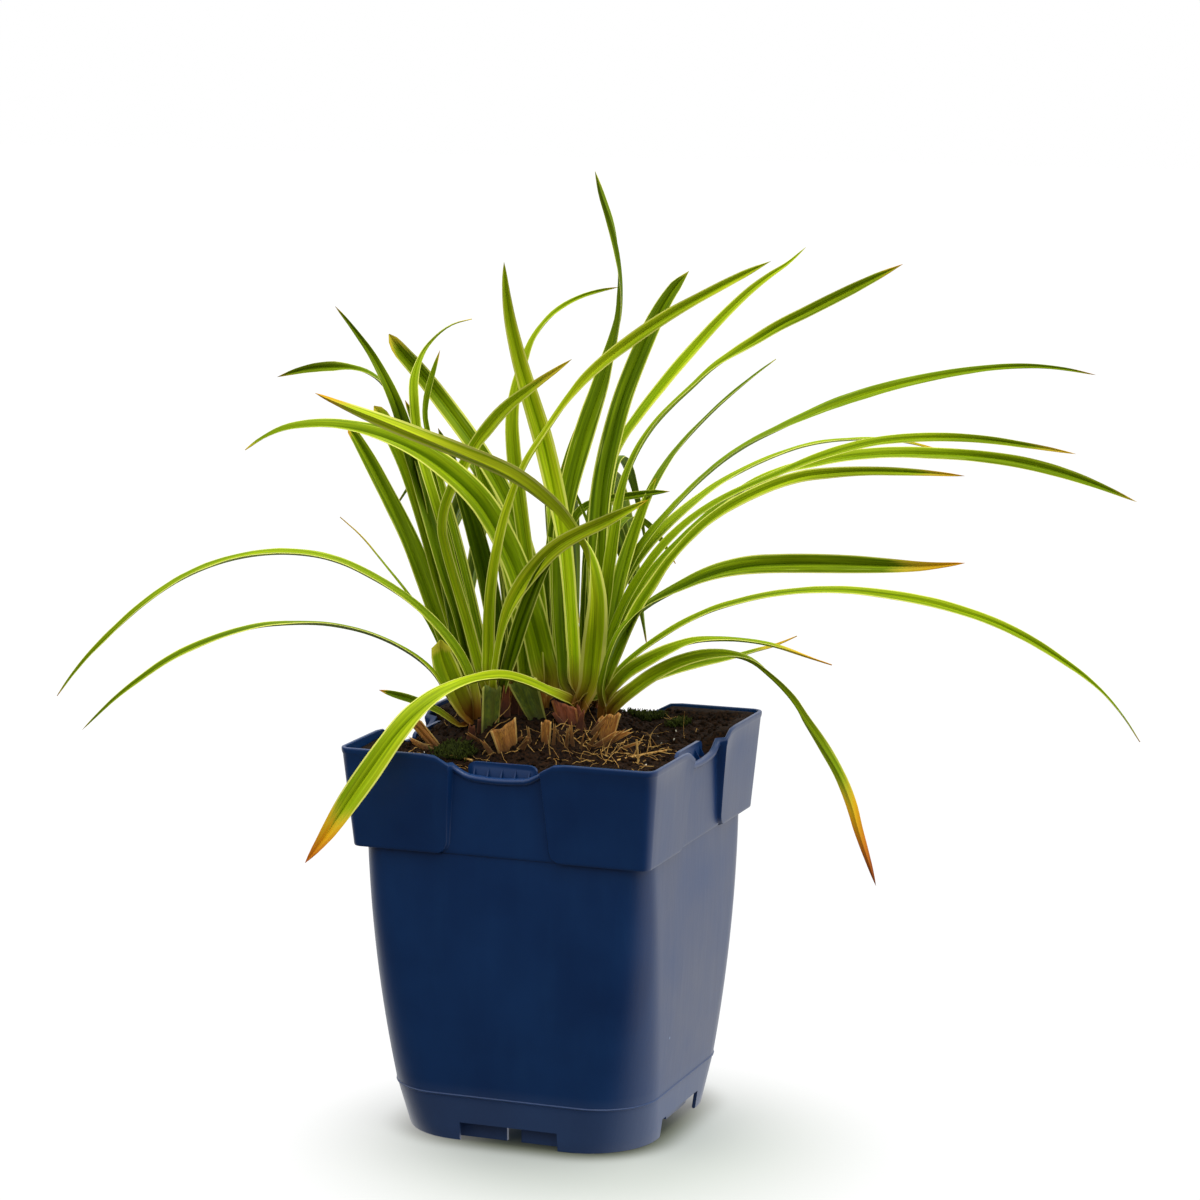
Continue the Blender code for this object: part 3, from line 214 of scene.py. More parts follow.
ACROSS = np.array([math.cos(VIEW_TURN), math.sin(VIEW_TURN), 0.0])
TOWARD = np.array([
    math.sin(VIEW_TURN) * math.cos(VIEW_TIP),
    -math.cos(VIEW_TURN) * math.cos(VIEW_TIP),
    math.sin(VIEW_TIP),
])
UPWARD = np.cross(TOWARD, ACROSS)
BOARD_ORIGIN = np.array([0.0, 0.0, POT_HEIGHT])
EYE = BOARD_ORIGIN + ACROSS * VIEW_AIM[0] + UPWARD * VIEW_AIM[1] + TOWARD * VIEW_DISTANCE

# Where each shoot stands: millimetres across the board, and level towards the viewer
SHOOTS = {
    "shoot_left_front": (-31.0, -5.0),
    "shoot_left_back": (-32.0, -22.0),
    "shoot_left_inner": (-20.0, -11.0),
    "shoot_middle": (-6.0, -9.0),
    "shoot_right_inner": (7.0, -4.0),
    "shoot_right_outer": (12.0, -15.5),
    "shoot_right_front": (18.0, -3.0),
    "shoot_back_left": (-15.0, -29.0),
    "shoot_back_middle": (1.0, -27.0),
    "shoot_back_right": (12.0, -37.0),
}

# Leaves that the viewer sees: shoot, full width in millimetres, distance towards the viewer at even steps
# from root to tip, and the route over the picture as x, y and the width that shows there. A negative width is
# the blade's other face, after it has turned over
DRAWN_LEAVES = [
    ("shoot_left_front", 6.5, (-14, -28, -42),
     [(474, 692, 10), (460, 657, 10), (438, 628, 9), (408, 600, 7), (370, 576, 6), (330, 558.5, 5.5),
      (283, 552.5, 5), (235, 558, 4.5), (190, 574, 4.5), (150, 599, 5), (110, 634, 5), (80, 665, 4),
      (57, 696, 1)]),
    ("shoot_left_front", 4.5, (10, 22, 34, 45),
     [(460, 712, 6), (445, 690, 5), (428, 667, 3), (400, 647, 1.5), (365, 632, 1), (325, 624, 1.2),
      (290, 623.5, 2.5), (255, 627, 4.5), (215, 638.5, 6.5), (175, 656, 6.5), (140, 679, 5),
      (110, 702.5, 3.5), (82, 730, 1)]),
    ("shoot_left_front", 3.5, (8, 14),
     [(460, 726, 5), (438, 711, 6), (412, 699.5, 8), (395, 694.5, 7), (379, 690, 2)]),
    ("shoot_left_front", 9.5, (2, 4, 6),
     [(466, 712, 18), (455, 690, 24), (446, 668, 25), (441, 652, 20), (441, 640, 16)]),
    ("shoot_left_back", 5.0, (-30, -42, -55),
     [(462, 690, 8), (450, 620, 8), (438, 555, 8), (425, 490, 8), (410, 440, 7), (392, 400, 4),
      (378, 378, 1.5), (366, 372.5, 2), (352, 368, 6), (335, 366.5, 10.5), (315, 367.5, 9.5), (295, 371.5, 6),
      (277, 377, 1)]),
    ("shoot_left_back", 7.0, (-16, -8, 2),
     [(476, 690, 14), (462, 625, 16), (445, 570, 17), (428, 510, 17), (412, 455, 16), (400, 415, 14),
      (388, 385, 12), (372, 355, 8.5), (358, 335, 6), (345, 318, 3.5), (335, 306, 1)]),
    ("shoot_left_back", 8.0, (-34, -50),
     [(470, 700, 16), (455, 660, 20), (440, 620, 21), (425, 580, 20), (409, 540, 18), (390, 500, 16.5),
      (372, 465, 15), (356, 437, 11), (348, 426, 8)]),
    ("shoot_left_back", 1.6, (-42, -60),
     [(455, 680, 4), (430, 625, 4), (405, 590, 3), (385, 565, 1.5), (362, 537, 0.8), (340, 517, 0.5)]),
    ("shoot_left_back", 7.0, (-30, -42),
     [(474, 700, 14), (458, 640, 16), (440, 580, 17), (424, 520, 17), (408, 470, 17), (392, 435, 16),
      (380, 412, 13), (374, 406, 8)]),
    ("shoot_left_inner", 3.0, (-18, -22),
     [(490, 690, 6), (470, 600, 6), (450, 520, 6), (432, 450, 6), (425, 415, 5.5), (427, 395, 6.5),
      (433, 372, 5.5), (440, 350, 1)]),
    ("shoot_left_inner", 4.2, (-14, -26, -36),
     [(488, 690, 8), (462, 600, 9), (440, 520, 10), (420, 450, 10), (414, 400, 10), (414, 380, 9),
      (421, 355, 4.5), (432, 340, 3), (445, 328, 1.5), (460, 321.5, 1.2), (472, 319, 0.8)]),
    ("shoot_left_inner", 5.5, (0, 12, 24),
     [(488, 690, 11), (468, 620, 11), (450, 560, 10), (443, 525, 10), (450, 495, 10), (462, 470, 10),
      (475, 445, 12), (490, 425, 14), (505, 408, 12.5), (520, 396, 11), (540, 381, 8), (556, 370, 5.5),
      (572, 359, 1)]),
    ("shoot_left_inner", 5.5, (6, 32, 52, 62),
     [(489, 690, 12), (489, 640, 12), (491, 600, 12), (496, 560, 10), (506, 515, 9), (516, 487, 8),
      (524, 467, 4), (534, 450, 4.5), (547, 430, 5), (562, 408, 5.5), (580, 385, 8), (600, 365, 11),
      (630, 341, 12.5), (665, 317, 12), (700, 297, 9.5), (740, 276, 8), (771, 261, 1)]),
    ("shoot_left_inner", 6.5, (16, 38, 62),
     [(495, 690, 6), (499, 650, 6), (506, 618, 10), (518, 592, 15), (535, 568, 17), (555, 548, 16),
      (578, 534, 14), (600, 524, 12.5), (620, 514, 9.5), (648, 500, 2)]),
    ("shoot_middle", 11.0, (2, 14, 28, 40),
     [(549, 690, 30), (541, 655, 29), (532, 620, 27), (518, 575, 25), (500, 535, 25), (478, 500, 25),
      (450, 473, 23), (420, 452, 20), (390, 438, 16), (360, 429.5, 12), (330, 425, 8), (300, 426, 7),
      (272, 433, 5), (245, 450, 1)]),
    ("shoot_middle", 7.0, (-14, -20, -24),
     [(543, 690, 14), (541, 640, 14), (536, 590, 15), (524, 545, 16), (507, 500, 17), (488, 465, 18),
      (468, 435, 19), (448, 408, 19), (428, 382, 18), (410, 361, 17), (395, 344, 14), (389, 334, 9)]),
    ("shoot_right_inner", 7.8, (0, 10, 30),
     [(574, 690, 12), (572, 650, 13), (569, 610, 14), (566, 570, 14), (560, 520, 17), (552, 480, 20),
      (543, 440, 20.5), (534, 410, 19), (525, 380, 17), (518, 355, 15), (511, 325, 12.5), (507, 300, 9.5),
      (505, 280, 6), (504, 262, 1)]),
    ("shoot_middle", 6.0, (-10, -14, -16),
     [(540, 690, 12), (535, 620, 13), (528, 560, 14), (520, 500, 15), (514, 450, 15), (513, 415, 13),
      (519, 380, 10), (528, 352, 8), (536, 334, 5), (548, 319, 2), (562, 307, 2.5), (580, 297, 5),
      (600, 290.5, 3.5), (619, 287, 1)]),
    ("shoot_right_inner", 8.0, (-12, -16, -14, -6),
     [(567, 690, 10), (563, 640, 12), (561, 590, 14), (562, 545, 16), (568, 500, 18), (577, 460, 21),
      (589, 420, 21), (601, 385, 17), (611, 350, 11), (618, 325, 7), (620.5, 300, 4.5), (620, 280, 3),
      (619, 266, 0), (617, 250, -3.5), (612.5, 228, -7.5), (605, 205, -8), (599, 186, -4.5), (595, 171, -1)]),
    ("shoot_right_inner", 8.5, (14, 32, 48, 56, 60),
     [(568, 701, 8), (550, 693, 8), (530, 684, 8), (505, 677, 9.5), (480, 679, 6.5), (458, 685.5, 9),
      (435, 697, 13), (412, 716, 18), (390, 742, 21), (368, 773, 23), (347, 803, 21), (328, 832, 15),
      (315, 850, 8), (305, 863, 2)]),
    ("shoot_right_inner", 9.0, (8, 26, 42, 50, 56),
     [(585, 697, 19), (590, 680, 22.5), (592, 660, 23.5), (594, 635, 23.5), (595.5, 610, 21), (594, 585, 16),
      (590, 562, 9), (584, 545, 0), (572, 529, -8), (559, 513, -11), (541, 496, -13), (520, 480, -16),
      (498, 468, -16), (470, 456, -15), (435, 442, -15), (400, 428, -15), (370, 416, -12), (345, 406, -7.5),
      (315, 393, -2)]),
    ("shoot_right_inner", 8.0, (-14, -24, -34),
     [(590, 690, 10), (597, 640, 12), (598, 600, 15), (598, 560, 19), (599, 520, 21), (603, 480, 21),
      (611, 440, 21), (622, 400, 20), (635, 365, 19.5), (650, 330, 18), (664, 303, 14.5), (677, 284, 11),
      (689, 271, 2)]),
    ("shoot_right_inner", 5.5, (-22, -44, -64),
     [(590, 690, 8), (596, 640, 8), (592, 580, 9), (595, 530, 9), (602, 495, 9), (611, 465, 9.5),
      (624, 438, 8.5), (641, 414, 10), (660, 389, 11), (681, 363, 11.5), (700, 341, 11), (722, 317, 10),
      (748, 292, 8.5), (772, 273.5, 6), (792, 260, 3), (806, 247, 1)]),
    ("shoot_right_inner", 6.0, (-2, 12, 26),
     [(596, 690, 8), (602, 650, 9), (606, 600, 12), (611, 560, 13), (617, 520, 12), (624, 485, 8),
      (634, 458, 5), (647, 435, 3.5), (665, 412, 2.5), (683, 396, 2.5), (702, 377, 3.5), (722, 361, 5),
      (747, 346, 8), (775, 328, 11), (810, 310, 11.5), (848, 291, 11), (878, 276, 7.5), (903, 264, 1)]),
    ("shoot_right_outer", 5.0, (-30, -50, -72),
     [(604, 680, 8), (609, 645, 11), (616, 605, 12), (624, 570, 12.5), (634, 535, 11), (645, 505, 9),
      (657, 480, 8), (668, 462, 6.5), (680, 446, 4.5), (697, 427, 2), (718, 406, 1.5), (740, 387, 2.5),
      (760, 371, 2.5), (776, 359, 1)]),
    ("shoot_right_outer", 5.5, (-28, -46, -70),
     [(602, 690, 8), (607, 650, 9), (614, 610, 10), (625, 577, 10), (640, 549, 8), (660, 523, 5),
      (682, 498, 4), (708, 473, 3), (738, 450, 3.5), (770, 433, 5), (805, 417, 8), (840, 402.5, 11),
      (880, 389.5, 11), (925, 378.5, 9), (975, 370, 7), (1025, 366, 5), (1065, 369, 3.5), (1096, 375, 1)]),
    ("shoot_right_outer", 5.5, (-8, 8, 28),
     [(602, 690, 8), (608, 650, 9), (622, 610, 9), (640, 578, 9), (660, 550, 8), (682, 528, 7), (708, 508, 6),
      (740, 491, 5), (770, 478, 6), (805, 463, 8), (840, 451, 8), (880, 441.5, 9), (930, 437.5, 8.5),
      (980, 439, 8), (1025, 445, 6), (1052, 449.5, 4), (1076, 454, 1)]),
    ("shoot_right_outer", 6.0, (-20, -22, -18),
     [(602, 690, 8), (607, 660, 8), (620, 625, 8), (640, 590, 7), (665, 557, 6), (690, 532, 5), (715, 510, 5),
      (742, 490, 5), (772, 475, 8), (805, 466, 9), (840, 458, 11), (885, 453.5, 11), (930, 453.5, 11),
      (980, 456.5, 12), (1025, 463, 12.5), (1065, 473.5, 11), (1100, 486, 7), (1137, 502, 1)]),
    ("shoot_right_outer", 4.6, (-36, -62, -88),
     [(600, 690, 8), (604, 650, 8), (613, 608, 10), (626, 577, 12), (642, 552, 12), (661, 531, 10),
      (681, 513, 9), (701, 497, 7), (722, 482, 5), (752, 466, 3.5), (782, 453, 3), (812, 444, 2.5),
      (842, 440, 2.2), (875, 439, 2), (905, 442, 2), (932, 448.5, 2.5), (962, 458, 1)]),
    ("shoot_right_outer", 4.5, (-26, -42),
     [(612, 700, 6), (640, 683, 10), (670, 672, 10), (700, 664, 8), (730, 658.5, 5), (755, 651, 3),
      (775, 645.5, 2), (797, 636, 0.8)]),
    ("shoot_right_front", 5.5, (10, 38, 66),
     [(603, 692, 10), (612, 665, 12), (625, 635, 12), (640, 605, 11), (655, 583, 10), (670, 561, 8),
      (686, 543, 8), (703, 526, 9), (722, 512, 9), (742, 500, 10), (770, 487, 11), (800, 477, 11),
      (830, 473, 11), (862, 471, 9), (900, 471.5, 8), (935, 473.5, 5), (965, 476, 1)]),
    ("shoot_right_front", 7.5, (6, 22, 38),
     [(602, 690, 5), (610, 655, 5), (622, 630, 4), (640, 611, 3), (660, 598, 5), (680, 588, 9),
      (700, 578.5, 12), (722, 571, 15), (750, 565.5, 18), (785, 563.5, 19), (820, 563.5, 19),
      (860, 564.5, 17.5), (900, 566, 13), (930, 566, 8), (965, 563, 1)]),
    ("shoot_right_front", 5.0, (0, -8, -18),
     [(608, 690, 5), (620, 670, 5), (640, 652, 5), (660, 638, 6), (680, 625.5, 6), (705, 613, 5),
      (738, 602.5, 5), (770, 595.5, 6), (800, 592, 7), (835, 590.5, 7), (870, 593, 8), (905, 598, 9.5),
      (940, 605, 10), (970, 614, 9), (1000, 625, 9), (1030, 640, 8.5), (1060, 659, 7), (1080, 673, 5),
      (1100, 690, 3), (1120, 712, 1.5), (1140, 742, 0.8)]),
    ("shoot_right_front", 5.5, (12, 24, 34),
     [(612, 690, 10), (628, 672, 14), (648, 660, 14), (672, 649, 10), (697, 641, 4.5), (730, 639.5, 3),
      (758, 642.5, 3), (780, 647.5, 2.5), (805, 656, 1.2), (832, 665, 0.6)]),
    ("shoot_right_front", 5.5, (14, 30, 42, 50),
     [(610, 710, 12), (627, 694, 14), (650, 677, 14), (680, 662, 13), (710, 655, 11), (735, 656, 6),
      (750, 660, 1), (766, 672, -1.5), (781, 686, -3), (795, 703, -5), (806, 721, -8), (824, 748, -10),
      (840, 776, -11), (851, 803, -11), (859, 832, -9), (868, 860, -6), (876, 886, -1)]),
    ("shoot_back_middle", 4.0, (-30, -30, -24),
     [(570, 660, 7), (567, 600, 8), (568, 550, 8), (574, 520, 8), (586, 506, 8), (607, 499, 8),
      (632, 495.5, 8), (653, 492.5, 6), (670, 491.5, 1)]),
    ("shoot_back_middle", 3.0, (-26, -20),
     [(590, 660, 4), (606, 610, 4), (600, 565, 3.5), (588, 525, 3), (577, 498, 2.5), (568, 478, 2),
      (562, 465, 1)]),
    ("shoot_left_inner", 5.5, (10, 22, 34),
     [(503, 690, 8), (510, 660, 14), (519, 628, 16), (530, 597, 15), (541, 572, 12), (553, 553, 6)]),
]

# Leaves behind the crown, which the viewer doesn't see: shoot, heading in degrees from +X, reach, rise and
# the height of the tip over the rim
HIDDEN_LEAVES = [
    ("shoot_back_left", 124, 132, 190, -14),
    ("shoot_back_left", 131, 104, 170, 20),
    ("shoot_back_left", 146, 76, 180, 30),
    ("shoot_back_left", 168, 66, 170, 70),
    ("shoot_back_middle", 114, 146, 186, -20),
    ("shoot_back_middle", 119, 92, 150, 40),
    ("shoot_back_middle", 107, 100, 165, 16),
    ("shoot_back_right", 102, 112, 200, 4),
    ("shoot_back_right", 97, 66, 190, 50),
    ("shoot_back_right", 88, 40, 140, 34),
    ("shoot_back_right", 72, 34, 130, 52),
]
HIDDEN_WIDTH = (5.5, 8.5)
HIDDEN_SWAY = 14.0
HIDDEN_BOW = (0.16, 0.78)
HIDDEN_TURNS = (30, 20, 50)

# Short young leaves that fill the heart of the crown, given in the same way as the drawn ones
INNER_LEAVES = [
    ("shoot_left_inner", 7.0, (-22, -24, -28),
     [(486, 690, 18), (474, 630, 18), (460, 570, 18), (445, 510, 17), (430, 462, 14), (416, 425, 9),
      (405, 400, 2)]),
    ("shoot_back_left", 7.5, (-34, -34, -36),
     [(505, 690, 18), (498, 640, 20), (488, 585, 20), (476, 535, 19), (462, 490, 15), (448, 452, 9),
      (438, 428, 2)]),
    ("shoot_middle", 8.0, (-18, -22, -26),
     [(530, 690, 20), (524, 640, 21), (516, 590, 21), (505, 545, 20), (492, 505, 16), (480, 472, 9),
      (472, 450, 2)]),
    ("shoot_back_middle", 7.5, (-28, -30, -34),
     [(560, 690, 18), (556, 640, 20), (553, 590, 20), (556, 540, 19), (562, 495, 16), (570, 455, 10),
      (577, 425, 2)]),
    ("shoot_right_inner", 7.0, (-16, -24, -30),
     [(604, 690, 14), (609, 640, 15), (618, 590, 15), (630, 545, 13), (644, 505, 9), (656, 478, 2)]),
]

# What single leaves show, by their place in the lists: how much of the tip is dry, how brown it has gone, how
# pale the blade is, which also sets how dark it is painted and so is partly its own tone and partly painted
# light and shade, and how wide its cream margin is, as a share of the half width
LEAF_LOOKS = {
    2: (0.05, 1.0, 0.1, 0.1),
    3: (0.12, 0.0, 0.5, 0.16),
    7: (0.2, 0.3, 0.5, 0.1),
    8: (0.02, 0.2, 0.5, 0.12),
    10: (0.02, 0.2, 0.4, 0.14),
    11: (0.1, 0.2, 0.8, 0.2),
    12: (0.0, 0.0, 1.0, 0.2),
    13: (0.02, 0.4, 1.0, 0.18),
    14: (0.01, 0.3, 0.3, 0.1),
    15: (0.03, 0.2, 0.2, 0.22),
    16: (0.0, 0.0, 1.0, 0.26),
    18: (0.0, 0.0, 0.1, 0.14),
    19: (0.15, 0.8, 0.6, 0.16),
    20: (0.06, 0.6, 1.0, 0.3),
    21: (0.0, 0.0, 0.06, 0.12),
    22: (0.0, 0.0, 0.85, 0.22),
    24: (0.0, 0.0, 0.1, 0.12),
    26: (0.06, 0.4, 0.35, 0.14),
    27: (0.02, 0.4, 0.35, 0.14),
    28: (0.1, 0.6, 0.5, 0.2),
    29: (0.2, 0.4, 0.3, 0.2),
    30: (0.08, 0.5, 0.5, 0.25),
    31: (0.14, 0.55, 0.16, 0.14),
    33: (0.2, 0.5, 0.35, 0.18),
    34: (0.24, 1.0, 0.4, 0.18),
}
USUAL_DRY = 0.015
USUAL_BROWN = 0.8
# Shoots that stand further back than this level have leaves painted darker, a painted shade for the back of
# the crown, with narrower margins
BACK_LEVEL = -14.0
LIT_FRONT_SHOOTS = (0.6, (0.1, 0.2))
SHADED_BACK_SHOOTS = (0.25, (0.07, 0.14))

# Cut-back leaves and dead ones by the crown: across, level towards the viewer, height, width, and the lean
# and turn in degrees
CUT_STUBS = {
    "cut_stub_green": (-24.5, 5.0, 16.0, 7.5, 4.0, 25.0),
    "cut_stub_broad": (-4.5, 4.0, 16.0, 9.5, -22.0, -10.0),
    "cut_stub_tan_left": (-16.5, 19.0, 10.0, 9.0, -10.0, 20.0),
    "cut_stub_tan_middle": (-4.0, 17.0, 9.0, 4.0, 3.0, -25.0),
    "dead_leaf_tan": (-40.0, 5.0, 10.0, 5.0, -38.0, 0.0),
    "sheath_red_brown": (6.0, 6.0, 9.0, 8.5, -14.0, 15.0),
    "sheath_tan": (16.0, 9.0, 10.0, 8.0, 14.0, -20.0),
}
STUB_THICKNESS = 0.5
STUB_DEPTH = 6.0
STUB_CUT_DROP = 1.5
STUB_ROWS = 12
STUB_COLUMNS = 15
STUB_CUPPED = 0.16
STUB_CRUMPLE = 0.3
STUB_TEETH = 0.9
STUB_TOOTH_COUNT = 8
# Width at the foot and at the top, as shares of the full width, and how far one side of the cut stands higher
CUT_USUAL = (0.8, 1.0, 0.8)
CUT_SHAPES = {
    "cut_stub_green": (0.85, 1.0, -0.5),
    "cut_stub_broad": (0.5, 1.25, 1.6),
    "cut_stub_tan_left": (0.7, 1.15, 1.8),
    "sheath_red_brown": (0.75, 1.0, -2.0),
}

# Strips of dead sheath: across, level towards the viewer, length, width, lean to the right and rise, in
# degrees
SHREDS = {
    "dry_leaf": [
        (-22.5, 20.0, 9.0, 2.6, -32.0, 80.0), (-13.0, 21.0, 8.0, 3.0, 28.0, 75.0),
        (-9.0, 18.0, 9.0, 1.6, -8.0, 85.0), (-1.0, 18.0, 10.0, 1.5, 4.0, 85.0),
        (1.5, 17.0, 7.0, 1.2, -10.0, 80.0), (3.5, 19.0, 10.0, 1.7, 6.0, 78.0),
        (6.0, 18.0, 11.0, 2.0, -4.0, 84.0), (8.5, 19.0, 9.0, 1.2, 12.0, 80.0),
        (11.0, 16.0, 10.0, 2.2, 30.0, 70.0), (13.0, 14.0, 14.0, 2.6, 52.0, 78.0),
        (15.0, 12.0, 16.0, 3.0, 62.0, 80.0), (17.0, 14.0, 12.0, 1.8, 44.0, 82.0),
        (20.0, 13.0, 13.0, 1.6, 68.0, 75.0), (12.0, 9.0, 12.0, 2.4, 38.0, 80.0),
        (-26.0, 12.0, 9.0, 1.8, -50.0, 70.0), (25.0, 17.0, 7.0, 1.1, -24.0, 65.0),
        (-44.0, 9.0, 12.0, 3.2, -58.0, 80.0), (-16.0, 15.0, 7.0, 2.2, 50.0, 65.0),
    ],
    "dry_sheath": [
        (-19.0, 0.0, 14.0, 4.6, 4.0, 87.0), (-15.5, -2.0, 17.0, 5.0, 6.0, 87.0),
        (-12.0, -1.0, 15.0, 4.2, -2.0, 86.0), (4.0, 8.0, 9.0, 2.8, -36.0, 80.0),
        (8.0, 9.0, 10.0, 3.4, 10.0, 80.0), (10.0, 7.0, 12.0, 2.8, -12.0, 86.0),
        (13.0, 8.0, 8.0, 2.6, 24.0, 78.0), (-31.0, 7.0, 8.0, 4.2, 4.0, 84.0),
        (-27.0, 5.0, 7.0, 4.0, -6.0, 84.0),
    ],
}

# Loose straw in the peat: ends across and level towards the viewer, its radius, and how high one end stands
STRAWS = {
    "straw_right": ((22.0, 22.0), (40.0, 12.0), 0.6, 1.5),
    "straw_front": ((2.0, 34.0), (26.0, 40.0), 0.5, 1.0),
    "straw_upright": ((30.0, 24.0), (29.0, 25.0), 0.5, 9.0),
    "straw_left": ((-44.0, 14.0), (-30.0, 24.0), 0.6, 1.0),
}
STRAW_DEPTH = 4.0
STRAW_PLACES = 7
FIBRE_COUNT = 170
FIBRE_LENGTH = (3.0, 13.0)
FIBRE_RADIUS = (0.07, 0.22)
FIBRE_PLACES = 9
FIBRE_BEND = 0.7
FIBRE_HUMP = (0.1, 0.35)
# The share of fibres by the crown, with the middle and spread of their places across and towards the viewer
CROWN_FIBRES = 0.62
CROWN_ACROSS = (16, 16)
CROWN_TOWARD = (16, 9)
# The share of fibres that spring up, how far they do, and how far the ends of the others lie up or down
SPRINGY_FIBRES = 0.22
SPRING = (2.0, 9.0)
LYING = (-0.5, 1.5)

# Strips of old sheath and the scales at a shoot's foot
SHRED_THICKNESS = 0.3
SHRED_DEPTH = 1.5
SHRED_ROWS = 8
SHRED_COLUMNS = 5
SHRED_CURL = 0.3
SHRED_TAPER = 0.55
SCALE_POINTS = 9
SCALE_WRAP = (38, 66)
SCALE_HEIGHT = (3.0, 9.0)
SCALE_FLARE = (-0.6, 0.8)
SCALE_RADIUS = 4.3
SCALE_DEPTH = 4.0


def linear(code):
    """A colour written as sRGB hex, as the linear values that a shader takes."""
    values = [int(code[i : i + 2], 16) / 255 for i in (1, 3, 5)]
    return [v / 12.92 if v <= 0.04045 else ((v + 0.055) / 1.055) ** 2.4 for v in values] + [1.0]


def put(tree, node, inputs):
    """Sets a node's inputs, given in order or by their keys. One that is given as a socket is linked to it,
    and one that is given as a node to that node's first output."""
    pairs = inputs.items() if isinstance(inputs, dict) else enumerate(inputs)
    for key, value in pairs:
        if isinstance(value, bpy.types.Node):
            value = value.outputs[0]
        if isinstance(value, bpy.types.NodeSocket):
            tree.links.new(value, node.inputs[key])
        else:
            node.inputs[key].default_value = value


def add(tree, kind, inputs=(), stops=(), **settings):
    """Adds a node with its inputs, the stops of its colour ramp and its other settings."""
    node = tree.nodes.new(kind)
    for name, value in settings.items():
        setattr(node, name, value)
    for order, (position, code) in enumerate(stops):
        marks = node.color_ramp.elements
        mark = marks[order] if order < 2 else marks.new(position)
        mark.position = position
        mark.color = linear(code)
    put(tree, node, inputs)
    return node


def new_object(name, points, faces, edges=()):
    """A smooth mesh object, from points in millimetres."""
    mesh = bpy.data.meshes.new(name)
    mesh.from_pydata([tuple(float(v) * MM for v in point) for point in points], list(edges), faces)
    mesh.shade_smooth()
    obj = bpy.data.objects.new(name, mesh)
    bpy.context.scene.collection.objects.link(obj)
    return obj


def apply_modifiers(obj):
    graph = bpy.context.evaluated_depsgraph_get()
    mesh = bpy.data.meshes.new_from_object(obj.evaluated_get(graph))
    obj.modifiers.clear()
    obj.data = mesh


def new_tree(name, **kinds):
    """A geometry node tree that takes a geometry, the named values and a material, and what its inputs
    give."""
    tree = bpy.data.node_groups.new(name, "GeometryNodeTree")
    for key, kind in {"Geometry": "Geometry", **kinds, "Material": "Material"}.items():
        tree.interface.new_socket(key, in_out="INPUT", socket_type="NodeSocket" + kind)
    tree.interface.new_socket("Geometry", in_out="OUTPUT", socket_type="NodeSocketGeometry")
    return tree, add(tree, "NodeGroupInput").outputs


def end_tree(tree, geometry, material):
    """Gives what the tree has made its material and hands it out."""
    coloured = add(tree, "GeometryNodeSetMaterial", {"Geometry": geometry, "Material": material})
    add(tree, "NodeGroupOutput", (coloured,))
    return tree


def apply_tree(obj, tree, **inputs):
    """Runs a geometry node tree on an object and keeps the plain mesh that comes out."""
    modifier = obj.modifiers.new(tree.name, "NODES")
    modifier.node_group = tree
    for socket in tree.interface.items_tree:
        if socket.name in inputs:
            modifier[socket.identifier] = inputs[socket.name]
    apply_modifiers(obj)


def apply_boolean(obj, operation, others):
    """Joins or cuts with all the other objects in one Boolean, and removes them."""
    collection = bpy.data.collections.new(obj.name + "_" + operation.lower())
    bpy.context.scene.collection.children.link(collection)
    for other in others:
        bpy.context.scene.collection.objects.unlink(other)
        collection.objects.link(other)
    modifier = obj.modifiers.new(operation.title(), "BOOLEAN")
    modifier.operation = operation
    modifier.operand_type = "COLLECTION"
    modifier.collection = collection
    modifier.solver = "EXACT"
    apply_modifiers(obj)
    for other in others:
        bpy.data.objects.remove(other, do_unlink=True)
    bpy.data.collections.remove(collection)


def finish_piece(obj, nodes=()):
    """The piece rides on the model's one body and stands for its CAD nodes, which are hidden."""
    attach(obj, "root")
    if nodes:
        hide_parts(*nodes)


def smooth_step(share):
    share = min(1.0, max(0.0, share))
    return share * share * (3 - 2 * share)


# Materials


def new_material(name):
    material = bpy.data.materials.new(name)
    material.use_nodes = True
    tree = material.node_tree
    return material, tree, tree.nodes["Principled BSDF"]


